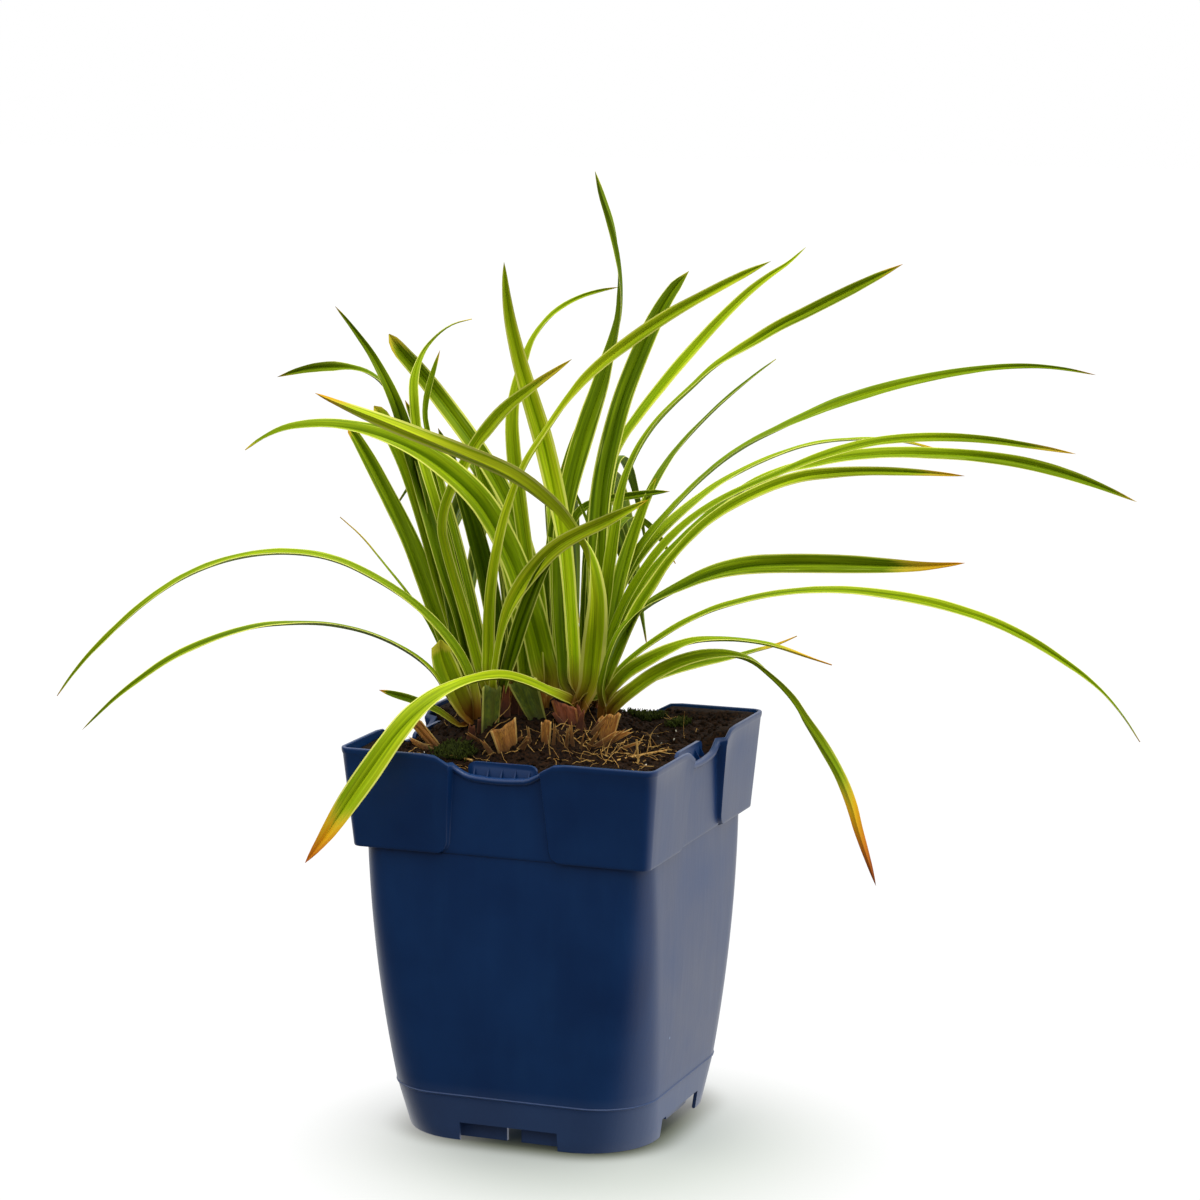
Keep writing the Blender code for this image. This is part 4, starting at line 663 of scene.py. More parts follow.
def pot_plastic():
    """Injection moulded polypropylene, dyed navy: a satin skin with faint vertical flow marks, fine orange
    peel, rubbed patches that are a little duller and specks of dust. The foot is painted paler: a painted
    reflection of the white floor."""
    material, tree, shader = new_material("moulded_polypropylene")
    place = add(tree, "ShaderNodeTexCoord").outputs["Object"]
    stretched = add(tree, "ShaderNodeMapping", {"Vector": place, "Scale": (60.0, 60.0, 9.0)})
    inputs = {"Vector": stretched, "Scale": 2.2, "Detail": 5.0, "Roughness": 0.6}
    flow = add(tree, "ShaderNodeTexNoise", inputs)
    cloud = add(tree, "ShaderNodeTexNoise", {"Vector": place, "Scale": 28.0, "Detail": 3.0})
    streak = add(tree, "ShaderNodeMapRange", (flow, 0.52, 0.78, 0.0, 0.16))
    specks = add(tree, "ShaderNodeTexVoronoi", {"Vector": place, "Scale": 95.0, "Randomness": 1.0}).outputs
    dot = add(tree, "ShaderNodeMapRange", (specks["Distance"], 0.035, 0.06, 1.0, 0.0))
    rare = add(tree, "ShaderNodeMath", (specks["Color"], 0.86), operation="GREATER_THAN")
    speck = add(tree, "ShaderNodeMath", (dot, rare), operation="MULTIPLY")
    height = add(tree, "ShaderNodeSeparateXYZ", (place,)).outputs["Z"]
    # Painted reflection of the white floor: the pot is painted paler below about 2 cm
    painted_floor_sheen = add(tree, "ShaderNodeMapRange", (height, 0.015, 0.022, 0.14, 0.0))
    skin = add(tree, "ShaderNodeValToRGB", (cloud,), stops=((0.32, "#052E60"), (0.72, "#08396F"))).outputs[0]
    for share, code in ((streak, "#1C4A7C"), (speck, "#6E86B0"), (painted_floor_sheen, "#7C8CA8")):
        skin = add(tree, "ShaderNodeMix", {0: share, 6: skin, 7: linear(code)}, data_type="RGBA").outputs[2]
    dull = add(tree, "ShaderNodeMapRange", (cloud, 0.3, 0.75, 0.3, 0.42))
    peel = add(tree, "ShaderNodeTexNoise", {"Vector": place, "Scale": 900.0, "Detail": 2.0})
    fine = add(tree, "ShaderNodeBump", {"Strength": 0.12, "Distance": 0.0001, "Height": peel})
    inputs = {"Strength": 0.25, "Distance": 0.0004, "Height": flow, "Normal": fine}
    waves = add(tree, "ShaderNodeBump", inputs)
    put(tree, shader, {"Base Color": skin, "Roughness": dull, "Normal": waves, "IOR": 1.49})
    return material


def leaf_skin():
    """The living blade of a variegated sedge: waxy green with fine lengthwise veins, cream margins, a keel
    darkened by painted shade in its crease, a red-brown foot and a tip that dries from yellow to brown.
    Blades that are less pale are painted darker, a painted shade for the crown."""
    material, tree, shader = new_material("sedge_blade")
    # From -1 to 1 across the blade, and centimetres along it
    spot = add(tree, "ShaderNodeUVMap", uv_map="blade")
    wide, along, _ = add(tree, "ShaderNodeSeparateXYZ", (spot,)).outputs
    leaf = {}
    for name in ("seed", "share", "dry", "brown", "pale", "margin", "skin"):
        leaf[name] = add(tree, "ShaderNodeAttribute", attribute_name=name).outputs["Fac"]
    from_keel = add(tree, "ShaderNodeMath", (wide,), operation="ABSOLUTE")
    far = add(tree, "ShaderNodeMath", (leaf["seed"], 61.0), operation="MULTIPLY")
    lengthwise = add(tree, "ShaderNodeMath", (along, 0.05), operation="MULTIPLY")
    lines = add(tree, "ShaderNodeCombineXYZ", (wide, lengthwise, far))
    bands = add(tree, "ShaderNodeTexNoise", {"Vector": lines, "Scale": 2.6, "Detail": 2.0, "Roughness": 0.55})
    streaks = add(tree, "ShaderNodeTexNoise", {"Vector": lines, "Scale": 11.0, "Detail": 1.0})
    veins = add(tree, "ShaderNodeMath", (wide, 17.0), operation="MULTIPLY")
    veins = add(tree, "ShaderNodeMath", (veins,), operation="SINE")

    # Green, paler on some leaves, and a little darker between the veins. Painted shade: darker along the
    # keel's crease, and darker the less pale a blade is, which stands in for the shade in the crown
    green = add(tree, "ShaderNodeValToRGB", (bands,), stops=((0.36, "#5A7A04"), (0.66, "#8CAC06")))
    light = add(tree, "ShaderNodeValToRGB", (bands,), stops=((0.34, "#9CBC08"), (0.66, "#CEDC20")))
    blade = add(tree, "ShaderNodeMix", {0: leaf["pale"], 6: green, 7: light}, data_type="RGBA").outputs[2]
    shade = add(tree, "ShaderNodeMapRange", (streaks, 0.34, 0.66, 0.8, 1.12))
    # The veins' own tone, and painted shade in the keel's crease
    darker = [(veins, -1.0, 1.0, 0.9, 1.06), (from_keel, 0.0, 0.06, 0.72, 1.0)]
    # Painted shade: the less pale a blade is, the darker it is painted
    darker.append((leaf["pale"], 0.0, 0.35, 0.64, 1.0))
    for inputs in darker:
        part = add(tree, "ShaderNodeMapRange", inputs)
        shade = add(tree, "ShaderNodeMath", (shade, part), operation="MULTIPLY")
    blade = add(tree, "ShaderNodeVectorMath", {0: blade, "Scale": shade}, operation="SCALE").outputs[0]

    # The cream margin wanders a little along the blade, and one or two thin cream lines run inside it
    sway = add(tree, "ShaderNodeCombineXYZ", (far, lengthwise))
    sway = add(tree, "ShaderNodeTexNoise", {"Vector": sway, "Scale": 1.7, "Detail": 3.0})
    sway = add(tree, "ShaderNodeMapRange", (sway, 0.3, 0.7, -0.05, 0.06))
    inner = add(tree, "ShaderNodeMath", (1.0, leaf["margin"]), operation="SUBTRACT")
    inner = add(tree, "ShaderNodeMath", (inner, sway), operation="ADD")
    outer = add(tree, "ShaderNodeMath", (inner, 0.03), operation="ADD")
    cream = add(tree, "ShaderNodeMapRange", (from_keel, inner, outer, 0.0, 0.9))
    thread = add(tree, "ShaderNodeMapRange", (streaks, 0.64, 0.7, 0.0, 0.3))
    off_keel = add(tree, "ShaderNodeMapRange", (from_keel, 0.4, 0.6, 0.0, 1.0))
    thread = add(tree, "ShaderNodeMath", (thread, off_keel), operation="MULTIPLY")
    cream = add(tree, "ShaderNodeMath", (cream, thread), operation="MAXIMUM")

    # The underside is greyer, and the root is pale, then red-brown where it leaves the sheath
    under = add(tree, "ShaderNodeMapRange", (leaf["skin"], -1.0, 1.0, 0.06, 0.0))
    root = add(tree, "ShaderNodeMapRange", (along, 0.9, 3.0, 0.12, 0.0))
    foot = add(tree, "ShaderNodeMath", (sway, 6.0), operation="MULTIPLY")
    foot = add(tree, "ShaderNodeMath", (along, foot), operation="ADD")
    foot = add(tree, "ShaderNodeMapRange", (foot, 0.8, 2.3, 0.9, 0.0))

    # Tip: yellow, orange and brown, with the margins drying first
    start = add(tree, "ShaderNodeMath", (1.0, leaf["dry"]), operation="SUBTRACT")
    early = add(tree, "ShaderNodeMath", (from_keel, 0.03), operation="MULTIPLY")
    place = add(tree, "ShaderNodeMath", (leaf["share"], early), operation="ADD")
    uneven = add(tree, "ShaderNodeMapRange", (streaks, 0.3, 0.7, -0.02, 0.02))
    place = add(tree, "ShaderNodeMath", (place, uneven), operation="ADD")
    dried = add(tree, "ShaderNodeMapRange", (place, start, 1.04, 0.0, 1.0))
    browning = add(tree, "ShaderNodeMath", (dried, leaf["brown"]), operation="MULTIPLY")
    tones = ((0.0, "#D2CC3C"), (0.3, "#E2B21C"), (0.6, "#CF7A1E"), (0.8, "#9A4E1E"), (1.0, "#5E3018"))
    tip = add(tree, "ShaderNodeValToRGB", (browning,), stops=tones)
    dried = add(tree, "ShaderNodeMapRange", (dried, 0.0, 0.25, 0.0, 1.0))

    # Small dark blemishes
    marks = add(tree, "ShaderNodeCombineXYZ", (wide, along, far))
    cells = add(tree, "ShaderNodeTexVoronoi", {"Vector": marks, "Scale": 1.3}).outputs
    few = add(tree, "ShaderNodeMath", (cells["Color"], 0.9), operation="GREATER_THAN")
    mark = add(tree, "ShaderNodeMapRange", (cells["Distance"], 0.05, 0.09, 0.75, 0.0))
    mark = add(tree, "ShaderNodeMath", (mark, few), operation="MULTIPLY")

    coats = [(cream, linear("#EAEC70")), (under, linear("#8C9E3A")), (root, linear("#A2B03C"))]
    coats += [(foot, linear("#7A401C")), (dried, tip), (mark, linear("#3C3A10"))]
    for share, colour in coats:
        blade = add(tree, "ShaderNodeMix", {0: share, 6: blade, 7: colour}, data_type="RGBA").outputs[2]
    gloss = add(tree, "ShaderNodeMapRange", (streaks, 0.3, 0.7, 0.36, 0.52))
    ridges = add(tree, "ShaderNodeBump", {"Strength": 0.3, "Distance": 0.0002, "Height": bands})
    put(tree, shader, {"Base Color": blade, "Roughness": gloss, "Normal": ridges})
    put(tree, shader, {"IOR": 1.42, "Specular IOR Level": 0.07})
    return material


def dry_leaf_skin(name, tan, deep, red, edge):
    """Dead sheath and cut leaf: papery, with coarse lengthwise fibres and pale edges, darker where it is damp
    at the foot."""
    material, tree, shader = new_material(name)
    spot = add(tree, "ShaderNodeUVMap", uv_map="blade")
    wide, along, _ = add(tree, "ShaderNodeSeparateXYZ", (spot,)).outputs
    seed = add(tree, "ShaderNodeAttribute", attribute_name="seed").outputs["Fac"]
    far = add(tree, "ShaderNodeMath", (seed, 47.0), operation="MULTIPLY")
    lengthwise = add(tree, "ShaderNodeMath", (along, 0.5), operation="MULTIPLY")
    lines = add(tree, "ShaderNodeCombineXYZ", (wide, lengthwise, far))
    fibres = add(tree, "ShaderNodeTexNoise", {"Vector": lines, "Scale": 9.0, "Detail": 4.0, "Roughness": 0.7})
    patches = add(tree, "ShaderNodeTexNoise", {"Vector": lines, "Scale": 1.6, "Detail": 2.0})
    patches = add(tree, "ShaderNodeMapRange", (patches, 0.42, 0.64, 0.0, 0.75))
    outer = add(tree, "ShaderNodeMath", (wide,), operation="ABSOLUTE")
    outer = add(tree, "ShaderNodeMapRange", (outer, 0.82, 0.88, 0.0, 0.8))
    damp = add(tree, "ShaderNodeMapRange", (along, 0.5, 1.1, 0.7, 0.0))
    papery = add(tree, "ShaderNodeValToRGB", (fibres,), stops=((0.34, deep), (0.68, tan))).outputs[0]
    for share, code in ((patches, red), (outer, edge), (damp, "#2E1A10")):
        inputs = {0: share, 6: papery, 7: linear(code)}
        papery = add(tree, "ShaderNodeMix", inputs, data_type="RGBA").outputs[2]
    ridges = add(tree, "ShaderNodeBump", {"Strength": 0.7, "Distance": 0.0003, "Height": fibres})
    put(tree, shader, {"Base Color": papery, "Roughness": 0.75, "Normal": ridges})
    # A little light comes through the dry tissue
    put(tree, shader, {"Subsurface Weight": 0.2, "Subsurface Scale": 0.0008})
    put(tree, shader, {"Subsurface Radius": (1.0, 0.6, 0.3)})
    return material


def speckled(name, dark, light, scale, roughness, relief):
    """A rough natural stuff whose colour wanders between two tones, with its relief in millimetres."""
    material, tree, shader = new_material(name)
    place = add(tree, "ShaderNodeTexCoord").outputs["Object"]
    inputs = {"Vector": place, "Scale": scale, "Detail": 6.0, "Roughness": 0.65}
    grain = add(tree, "ShaderNodeTexNoise", inputs)
    tone = add(tree, "ShaderNodeValToRGB", (grain,), stops=((0.38, dark), (0.7, light)))
    rough = add(tree, "ShaderNodeBump", {"Strength": 0.8, "Distance": relief * MM, "Height": grain})
    put(tree, shader, {"Base Color": tone, "Roughness": roughness, "Normal": rough})
    put(tree, shader, {"Specular IOR Level": 0.15})
    return material


def make_materials():
    """Every stuff that the plant and its pot are made of."""
    return {
        "pot": pot_plastic(),
        "leaf": leaf_skin(),
        # Leaf cut back while green, drying to olive
        "cut_leaf": dry_leaf_skin("cut_sedge_leaf", "#7A8A10", "#3E5408", "#626810", "#D0D060"),
        # Dead leaf and sheath, bleached to straw colour
        "dry_leaf": dry_leaf_skin("dead_sedge_leaf", "#DC9E40", "#6E4014", "#A86A24", "#E6BC6A"),
        # The foot of an old sheath, which keeps its red
        "dry_sheath": dry_leaf_skin("dead_sedge_sheath", "#A8582A", "#4C260E", "#7C3E1C", "#BC7C3C"),
        # Bark-free sphagnum peat, black-brown when damp, matt, with grains of 1 mm
        "peat": speckled("damp_peat", "#030201", "#38220F", 900.0, 0.95, 0.5),
        # Straw and root fibre, dry and matt
        "straw": speckled("straw_fibre", "#946428", "#EDC474", 700.0, 0.7, 0.1),
        # Feather moss, wet at the foot
        "moss": speckled("cushion_moss", "#181E06", "#4E5A18", 800.0, 0.85, 0.1),
        # Expanded perlite, chalky white
        "grit": speckled("perlite", "#B9B2A0", "#EDE8DC", 1500.0, 0.9, 0.1),
    }


# Pot


def body_half(z):
    """Half width and corner radius of the pot's body at a height, from the foot band up to the collar."""
    share = (z - FOOT_BAND_Z) / (COLLAR_Z - FOOT_BAND_Z)
    half = FOOT_BAND_HALF + (BODY_TOP_HALF - FOOT_BAND_HALF) * share + 4 * BODY_BULGE * share * (1 - share)
    return half, FOOT_BAND_CORNER + (BODY_TOP_CORNER - FOOT_BAND_CORNER) * share


def collar_half(z):
    share = (z - COLLAR_Z) / (POT_HEIGHT - COLLAR_Z)
    half = COLLAR_HALF + (RIM_HALF - COLLAR_HALF) * share
    return half, COLLAR_CORNER + (RIM_CORNER - COLLAR_CORNER) * share


def panel_half(z):
    """Half width of the recessed panel: wider at the bottom, where the pads' corners are round."""
    share = (z - COLLAR_Z) / (POT_HEIGHT - COLLAR_Z)
    half = PANEL_BOTTOM_HALF + (PANEL_TOP_HALF - PANEL_BOTTOM_HALF) * share
    below = max(0.0, PANEL_CORNER - (z - COLLAR_Z))
    return half + PANEL_CORNER - math.sqrt(PANEL_CORNER**2 - below**2)


def panel_recess(z):
    share = (z - COLLAR_Z) / (POT_HEIGHT - COLLAR_Z)
    return PANEL_RECESS_BOTTOM + (PANEL_RECESS_TOP - PANEL_RECESS_BOTTOM) * share


def rim_dip(along):
    """How far the rim's edge lies under its corners, at a distance along a side from its middle."""
    flat = DIP_FLAT * (1 - smooth_step((abs(along) - DIP_FLAT_HALF) / (DIP_HALF - DIP_FLAT_HALF)))
    bow = DIP_BOW * math.cos(math.pi * along / (2 * DIP_HALF)) ** 2 if abs(along) < DIP_HALF else 0.0
    return flat + bow


def turned(points, quarters):
    """Points turned about Z by a number of quarter turns."""
    for _ in range(quarters):
        points = [(-y, x, *rest) for x, y, *rest in points]
    return points


def pot_ring(z, half, corner, recess=0.0, panel=PANEL_BOTTOM_HALF, dip=0.0):
    """One level of the pot: a square outline with round corners and a recess in the middle of each side, its
    height lowered by a share of the rim's dip. Every ring has the same number of points."""
    reach = half - corner
    slope_end = panel + PANEL_SLOPE_WIDTH
    steps = [panel * i / 8 for i in range(8)]
    steps += [panel + PANEL_SLOPE_WIDTH * i / 4 for i in range(4)]
    steps += [slope_end + (reach - slope_end) * i / 8 for i in range(9)]
    side = []
    for along in [-v for v in steps[:0:-1]] + steps:
        depth = recess * (1 - smooth_step((abs(along) - panel) / PANEL_SLOPE_WIDTH))
        side.append((along, -(half - depth), z - dip * rim_dip(along)))
    for i in range(1, 10):
        angle = -math.pi / 2 + math.pi / 2 * i / 10
        side.append((reach + corner * math.cos(angle), -reach + corner * math.sin(angle), z))
    return [point for quarters in range(4) for point in turned(side, quarters)]


def collar_ring(z, inset, dip=0.0, roll=0.0):
    """A level of the collar. The roll brings the lip over the panel forward, and a little on the pads."""
    half, corner = collar_half(z)
    recess = panel_recess(z) - LIP_ROLL * roll
    half += LIP_LINE * roll - inset
    return pot_ring(z, half, max(1.0, corner - inset), recess, panel_half(z) + inset, dip)


def body_ring(z, inset):
    half, corner = body_half(z)
    return pot_ring(z, half - inset, corner - inset)


def foot_ring(z, inset=0.0):
    """A level of the foot, between the base and the band."""
    share = z / FOOT_BAND_Z
    half = BASE_HALF + (FOOT_BAND_HALF - BASE_HALF) * share
    return pot_ring(z, half - inset, BASE_CORNER + (FOOT_BAND_CORNER - BASE_CORNER) * share - inset)


def loft(name, rings, top=None):
    """A closed skin through rings of equal length, with a flat cap on the first, and on the last a cap, or a
    top given as its points inside the ring and the faces between both."""
    size = len(rings[0])
    points = [point for ring in rings for point in ring]
    faces = []
    for level in range(len(rings) - 1):
        low, high = level * size, (level + 1) * size
        for i in range(size):
            j = (i + 1) % size
            faces.append((low + i, low + j, high + j, high + i))
    faces.append(tuple(range(size))[::-1])
    last = (len(rings) - 1) * size
    if top is None:
        faces.append(tuple(range(last, last + size)))
    else:
        points += top[0]
        faces += [tuple(last + i for i in face) for face in top[1]]
    return new_object(name, points, faces)


def pot_shell():
    """The pot's wall and floor, from the middle of the floor's underside, over the rim and down inside."""
    foot = [(FLOOR_Z, WALL), (0.6, WALL), (0.0, WALL - 0.4), (0.0, 0.45), (0.12, 0.12)]
    foot += [(z, 0.0) for z in (*FOOT_LEVELS, FOOT_BAND_Z - 0.5)]
    foot.append((FOOT_BAND_Z - 0.2, -SEAM_PROUD))
    low = FOOT_BAND_Z + 2
    body = [(FOOT_BAND_Z + 0.1, -SEAM_PROUD), (FOOT_BAND_Z + 0.4, 0.0)]
    body += [(low + (COLLAR_Z - low) * i / BODY_RINGS, 0.0) for i in range(BODY_RINGS + 1)]
    collar = [(COLLAR_Z + 0.02, EDGE_ROUND), (COLLAR_Z + 0.15, 0.16)]
    collar += [(COLLAR_Z + rise, 0.0) for rise in COLLAR_RISES]
    collar += [(COLLAR_Z + rise, 0.0, dip) for rise, dip in DIPPING_RISES]
    for under in LIP_LEVELS:
        roll = math.sqrt(max(0.0, 1 - (2 * under - 1) ** 2))
        collar.append((POT_HEIGHT - under * LIP_HEIGHT, 0.0, 1.0, roll))
    collar += [(POT_HEIGHT - 0.12, 0.1, 1.0, 0.4), (POT_HEIGHT, 0.4, 1.0)]
    collar += [(POT_HEIGHT, WALL - 0.3, 1.0), (POT_HEIGHT - 0.3, WALL, 1.0), (COLLAR_Z + 32.0, WALL, 0.9)]
    collar += [(COLLAR_Z + rise, WALL, dip) for rise, dip in DIPPING_RISES[::-1]]
    collar += [(COLLAR_Z + rise, WALL) for rise in (11.0, PANEL_CORNER + WALL, WALL)]
    inside = [(z, WALL) for z in (COLLAR_Z + 0.2, 95.0, *BODY_LEVELS[::-1])]
    rings = [foot_ring(*level) for level in foot] + [body_ring(*level) for level in body]
    rings += [collar_ring(*level) for level in collar] + [body_ring(*level) for level in inside]
    rings.append(foot_ring(FLOOR_Z + FLOOR_THICKNESS, WALL))
    return loft("pot_moulding", rings)


def prism(name, outline, low, high, turn=0):
    """An upright prism over an outline in plan, turned about Z by a number of quarter turns."""
    outline = turned(outline, turn)
    return loft(name, [[(x, y, z) for x, y in outline] for z in (low, high)])


def box(name, low, high, turn=0):
    outline = [(low[0], low[1]), (high[0], low[1]), (high[0], high[1]), (low[0], high[1])]
    return prism(name, outline, low[2], high[2], turn)


def round_bar(name, centre, radius, low, high, sides=32):
    angles = [2 * math.pi * i / sides for i in range(sides)]
    outline = [(centre[0] + radius * math.cos(a), centre[1] + radius * math.sin(a)) for a in angles]
    return prism(name, outline, low, high)


def corner_rib(turn):
    """A rib under the floor that follows one corner of the skirt, from slot to slot."""
    half, corner = BASE_HALF - RIB_INSET, BASE_CORNER - RIB_INSET
    reach = half - corner
    sides = []
    for inset in (0.0, RIB_THICKNESS):
        side = [(RIB_SLOT_HALF, -half + inset)]
        for i in range(13):
            angle = -math.pi / 2 + math.pi / 2 * i / 12
            size = corner - inset
            side.append((reach + size * math.cos(angle), -reach + size * math.sin(angle)))
        sides.append(side + [(half - inset, -RIB_SLOT_HALF)])
    return prism("corner_rib", sides[0] + sides[1][::-1], 0.0, FLOOR_Z + SUNK, turn)


def side_plate(name, outline, near, far, turn):
    """A plate whose outline is drawn on a side's wall, as places along the side and heights, from one
    distance behind the rim's plane to another."""
    return loft(name, [turned([(along, depth, z) for along, z in outline], turn) for depth in (far, near)])


def recessed_wall(z, depth):
    """Where the recessed wall of the side that faces -Y lies at a height, a share of its thickness deep."""
    return -(collar_half(z)[0] - panel_recess(z) - depth * WALL)


def label_pocket(turn):
    """The plate behind a panel's dip, with rounded upper corners, and the gussets that carry it."""
    plate_y = recessed_wall(POCKET_TOP_Z, 1.0) + POCKET_GAP
    sunk_y = recessed_wall(POCKET_BOTTOM_Z, 0.5)
    wide, high = POCKET_CORNER
    top = [(POCKET_HALF, POCKET_BOTTOM_Z)]
    for i in range(7):
        angle = math.pi / 2 * i / 6
        along = POCKET_HALF - wide + wide * math.cos(angle)
        top.append((along, POCKET_TOP_Z - high + high * math.sin(angle)))
    outline = top + [(-along, z) for along, z in top[::-1]]
    low = (-POCKET_HALF + 0.2, sunk_y, POCKET_BOTTOM_Z + 0.2)
    high = (POCKET_HALF - 0.2, plate_y + SUNK, POCKET_BOTTOM_Z + WALL)
    pieces = [side_plate("pocket_plate", outline, plate_y, plate_y + WALL, turn)]
    pieces.append(box("pocket_floor", low, high, turn))
    back_y = plate_y + 0.4
    back_z = POCKET_TOP_Z - POCKET_RIB_DROP
    for i in range(-2, 3):
        left, right = (i * POCKET_RIB_SPACING + half for half in (-POCKET_RIB_HALF, POCKET_RIB_HALF))
        corners = [(left, back_y, back_z), (left, sunk_y, POCKET_RIB_FRONT_Z)]
        corners += [(right, sunk_y, POCKET_RIB_FRONT_Z), (right, back_y, back_z)]
        corners = turned(corners, turn)
        foot = [(x, y, POCKET_BOTTOM_Z + SUNK) for x, y, _ in corners]
        pieces.append(loft("pocket_gusset", [foot, corners]))
    return pieces


def make_pot(material):
    pot = pot_shell()
    cutters = []
    low = (-NOTCH_WIDTH / 2, -BASE_HALF - 4.0, -1.0)
    high = (NOTCH_WIDTH / 2, -BASE_HALF + WALL + 3.0, NOTCH_HEIGHT)
    for turn in range(4):
        cutters.append(box("notch_cutter", low, high, turn))
    for i in range(DRAIN_COUNT):
        angle = 2 * math.pi * (i + 0.5) / DRAIN_COUNT
        centre = (DRAIN_RING_RADIUS * math.cos(angle), DRAIN_RING_RADIUS * math.sin(angle))
        top = FLOOR_Z + FLOOR_THICKNESS + 1
        cutters.append(round_bar("drain_cutter", centre, DRAIN_RADIUS, FLOOR_Z - 1, top))
    apply_boolean(pot, "DIFFERENCE", cutters)
    additions = [corner_rib(turn) for turn in range(4)]
    additions.append(round_bar("floor_stud", (0, 0), STUD_RADIUS, 0.0, FLOOR_Z + SUNK))
    for turn in range(4):
        additions += label_pocket(turn)
    apply_boolean(pot, "UNION", additions)
    pot.data.materials.clear()
    pot.data.materials.append(material)
    for face in pot.data.polygons:
        face.material_index = 0
    pot.data.shade_smooth()
    pot.data.set_sharp_from_angle(angle=SHARP_EDGE)
    finish_piece(pot, ["pot"])


# Leaves: their middle lines, which repeat the CAD's so that each blade lies where its solid does


def level_place(across, toward):
    """The X and Y of a place on the peat given across the board and level towards the viewer."""
    x = across * math.cos(VIEW_TURN) + toward * math.sin(VIEW_TURN)
    return x, across * math.sin(VIEW_TURN) - toward * math.cos(VIEW_TURN)


def soil_height(x, y):
    """The peat's height: level near the wall, higher round the crown."""
    middle_x, middle_y = level_place(*SOIL_CROWN)
    distance = math.hypot(x - middle_x, y - middle_y) / SOIL_CROWN_SPREAD
    return SOIL_EDGE_Z + (SOIL_CROWN_Z - SOIL_EDGE_Z) * math.exp(-(distance**4))


def on_board(x, y, toward):
    """The place that the viewer sees at a point of the picture, a distance in front of the board."""
    across = VIEW_AIM[0] + (x - PICTURE_MIDDLE) * PICTURE_STEP
    up = VIEW_AIM[1] + (PICTURE_MIDDLE - y) * PICTURE_STEP
    flat = BOARD_ORIGIN + ACROSS * across + UPWARD * up
    return flat + (EYE - flat) * (toward / VIEW_DISTANCE)


def smooth_route(points, count):
    """Places at even steps along a smooth curve through the given points."""
    points = np.array(points, float)
    padded = np.vstack([2 * points[0] - points[1], points, 2 * points[-1] - points[-2]])
    fine = []
    for i in range(1, len(padded) - 2):
        before, start, end, after = padded[i - 1 : i + 3]
        for step in range(12):
            t = step / 12
            fine.append(0.5 * (
                2 * start
                + (end - before) * t
                + (2 * before - 5 * start + 4 * end - after) * t**2
                + (3 * start - before - 3 * end + after) * t**3
            ))
    fine.append(points[-1])
    return at_even_steps(np.array(fine), count)


def at_even_steps(places, count):
    steps = np.linalg.norm(np.diff(places[:, :3], axis=0), axis=1)
    lengths = np.concatenate([[0.0], np.cumsum(steps)])
    wanted = np.linspace(0.0, lengths[-1], count)
    return np.stack([np.interp(wanted, lengths, places[:, i]) for i in range(places.shape[1])], axis=1)


def unit(vectors):
    return vectors / np.linalg.norm(vectors, axis=-1, keepdims=True)


def directions(places):
    return unit(np.gradient(places, axis=0))


def spread(values, count):
    """A few values at even steps, read at more even steps with no corner at the given ones."""
    given = np.linspace(0.0, 1.0, len(values))
    wanted = np.linspace(0.0, 1.0, count)
    return soften(soften(np.interp(wanted, given, values)))


def soften(values):
    """A row of values with each one averaged with its neighbours."""
    padded = np.concatenate([values[:1], values, values[-1:]])
    return (padded[:-2] + padded[1:-1] + padded[2:]) / 3


def turned_sides(along, plain, degrees, sign):
    """The direction from a blade's middle to its edge: a plain one, turned about the blade's length."""
    plain = unit(plain - along * np.sum(along * plain, axis=1, keepdims=True))
    normal = np.cross(along, plain)
    angles = np.radians(degrees)[:, None]
    return np.cos(angles) * plain - sign * np.sin(angles) * normal


def root_of(shoot, order):
    """Where a leaf starts inside its shoot's sheath, each one round the middle from the last."""
    x, y = level_place(*SHOOTS[shoot])
    way = np.array([math.cos(ROOT_SPIRAL * order), math.sin(ROOT_SPIRAL * order), 0.0])
    base = np.array([x, y, soil_height(x, y)]) + ROOT_OFFSET * way
    return [base + [0, 0, level] for level in ROOT_LEVELS]


def drawn_leaf(order, shoot, width, toward, route):
    start, clasp = root_of(shoot, order)
    depth = (start - BOARD_ORIGIN) @ TOWARD
    depths = spread((depth, *toward), len(route) + 1)[1:]
    if route[0][1] > LOW_LEAF:
        clasp = start + (clasp - start) * LOW_CLASP
    points = [start, clasp] + [on_board(x, y, level) for (x, y, _), level in zip(route, depths)]
    shown = [route[0][2] * share for share in ROOT_SHOWN] + [point[2] for point in route]
    points = [(*point, size * PICTURE_STEP) for point, size in zip(points, shown)]
    path = smooth_route(points, CONTROL_STATIONS)
    places, shown = path[:, :3], path[:, 3]
    full = [width * blade_profile(share) for share in np.linspace(0.0, 1.0, CONTROL_STATIONS)]
    widths = np.maximum(full, np.abs(shown))
    turns = np.degrees(np.arccos(shown / widths))
    turns[:2], turns[-2:] = turns[2], turns[-3]
    along = directions(places)
    sign = 1.0 if route[-1][0] > route[0][0] else -1.0
    sides = turned_sides(along, np.cross(EYE - places, along), soften(turns), sign)
    return {"shoot": shoot, "widths": widths, "places": places, "sides": sides}


